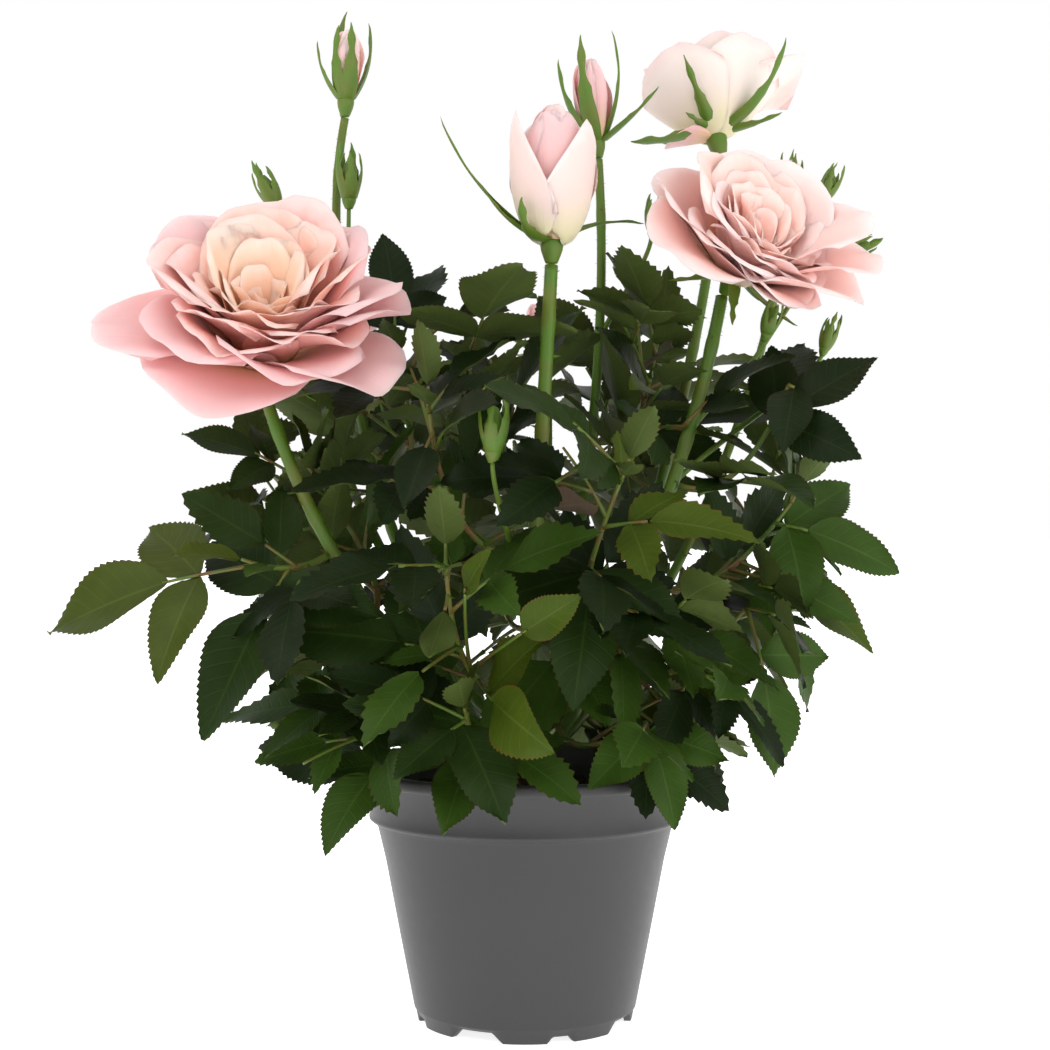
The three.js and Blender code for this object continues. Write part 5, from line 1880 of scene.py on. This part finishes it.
    def sepal(self, sepal: Sepal, start: float, raised: float, chance: SeededRun) -> np.ndarray:
        """Gives a sepal's surface: broad at its foot, then a long tail with leafy lobes."""
        u, v = self.sepal_sheet.u, self.sepal_sheet.v
        out, up, angle = spine(sepal.length, sepal.opens, start, v)
        lobes = np.exp(-(((v - 0.8) / 0.09) ** 2)) * 0.3 + np.exp(-(((v - 0.5) / 0.05) ** 2)) * 0.2
        swell = 0.75 + 0.5 * np.sin(np.pi * np.minimum(1, v * 1.6))
        width = (1.05 - v) ** 0.9 * swell + lobes
        half = sepal.width / 2 * np.maximum(width, 0.06)
        sideways = -u * half + chance.spread(-0.06, 0.06) * sepal.length * v * v
        lift = 0.3 * half * u * u
        reach = out - np.cos(angle) * lift
        height = up + np.sin(angle) * lift + raised
        return swung(reach, sideways, height, sepal.turn)


# ---------------------------------------------------------------- stage
@dataclass
class Studio:
    """The pale floor, the soft lights and the camera."""

    lens: float = 64.3
    sensor: float = 36.0
    place: tuple[float, float, float] = (0.0, -0.6442, 0.1685)
    floor_size: float = 40.0
    ceiling: str = "#d0d0d0"
    side: str = "#c8c8c8"
    room: str = "#bebebe"
    glow: float = 0.8

    def build(self) -> None:
        """Sets up the floor, the world, the lights and the camera."""
        scene = bpy.context.scene
        scene.view_settings.view_transform = "Standard"
        self.floor()
        world = bpy.data.worlds.new("studio_world")
        world.use_nodes = True
        tree = world.node_tree
        shade = tree.nodes["Background"]
        aim = add_node(tree, "ShaderNodeTexCoord")
        height = add_node(tree, "ShaderNodeSeparateXYZ", {0: aim.outputs["Generated"]})
        depth = maths(tree, "MULTIPLY_ADD", height.outputs[1], 0.5, 0.5)
        stops = [(0.0, self.room), (0.5, self.side), (0.86, "#ffffff"), (1.0, "#ffffff")]
        around = add_ramp(tree, depth, stops)
        rise = add_node(tree, "ShaderNodeMapRange", {0: height.outputs[2], 1: 0.34, 2: 0.6})
        tree.links.new(blend(tree, rise.outputs[0], around, self.ceiling), shade.inputs["Color"])
        scene.world = world
        self.area_light("key_light", (-0.75, -0.75, 1.35), 1.2, 8.5)
        self.area_light("fill_light", (0.95, -0.8, 0.7), 1.2, 5.5)
        camera = bpy.data.cameras.new("camera")
        camera.lens, camera.sensor_width = self.lens, self.sensor
        camera.clip_start = 0.01
        rig = bpy.data.objects.new("camera", camera)
        rig.location = self.place
        rig.rotation_euler = (math.radians(90), 0, 0)
        scene.collection.objects.link(rig)
        scene.camera = rig

    def floor(self) -> None:
        """Makes the wide pale floor."""
        half = self.floor_size / 2
        mesh = bpy.data.meshes.new("floor")
        corners = [(-half, -half, 0), (half, -half, 0), (half, half, 0), (-half, half, 0)]
        mesh.from_pydata(corners, [], [(0, 1, 2, 3)])
        material, tree, shader = new_material("studio_floor")
        shader.inputs["Base Color"].default_value = linear("#fbfbfb")
        shader.inputs["Roughness"].default_value = 0.9
        shader.inputs["Emission Color"].default_value = (1, 1, 1, 1)
        place = add_node(tree, "ShaderNodeTexCoord")
        depth = add_node(tree, "ShaderNodeSeparateXYZ", {0: place.outputs["Object"]})
        lit = add_node(tree, "ShaderNodeMapRange",
                       {0: depth.outputs[1], 1: -0.5, 2: -0.06, 3: 0.7, 4: self.glow})
        tree.links.new(lit.outputs[0], shader.inputs["Emission Strength"])
        mesh.materials.append(material)
        floor = bpy.data.objects.new("floor", mesh)
        bpy.context.scene.collection.objects.link(floor)

    @staticmethod
    def area_light(name: str, place: tuple[float, float, float], size: float, power: float) -> None:
        """Adds a square soft light that faces the middle of the plant."""
        light = bpy.data.lights.new(name, "AREA")
        light.size, light.energy = size, power
        lamp = bpy.data.objects.new(name, light)
        lamp.location = place
        aim = Vector((0, 0, 0.17)) - Vector(place)
        lamp.rotation_euler = aim.to_track_quat("-Z", "Y").to_euler()
        bpy.context.scene.collection.objects.link(lamp)


def main() -> None:
    """Builds the plant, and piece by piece."""
    logging.basicConfig(level=logging.INFO, format="%(message)s")
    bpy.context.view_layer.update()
    finishes = Finishes()
    pot, stem = Pot(), WoodyStem()
    Studio().build()
    pot.build(finishes)
    Compost(pot).build(finishes)
    stem.build(finishes)
    Canes(stem).build(finishes)
    Foliage(stem).build(finishes)
    Blooms(stem).build(finishes)


if __name__ == "__main__":
    main()
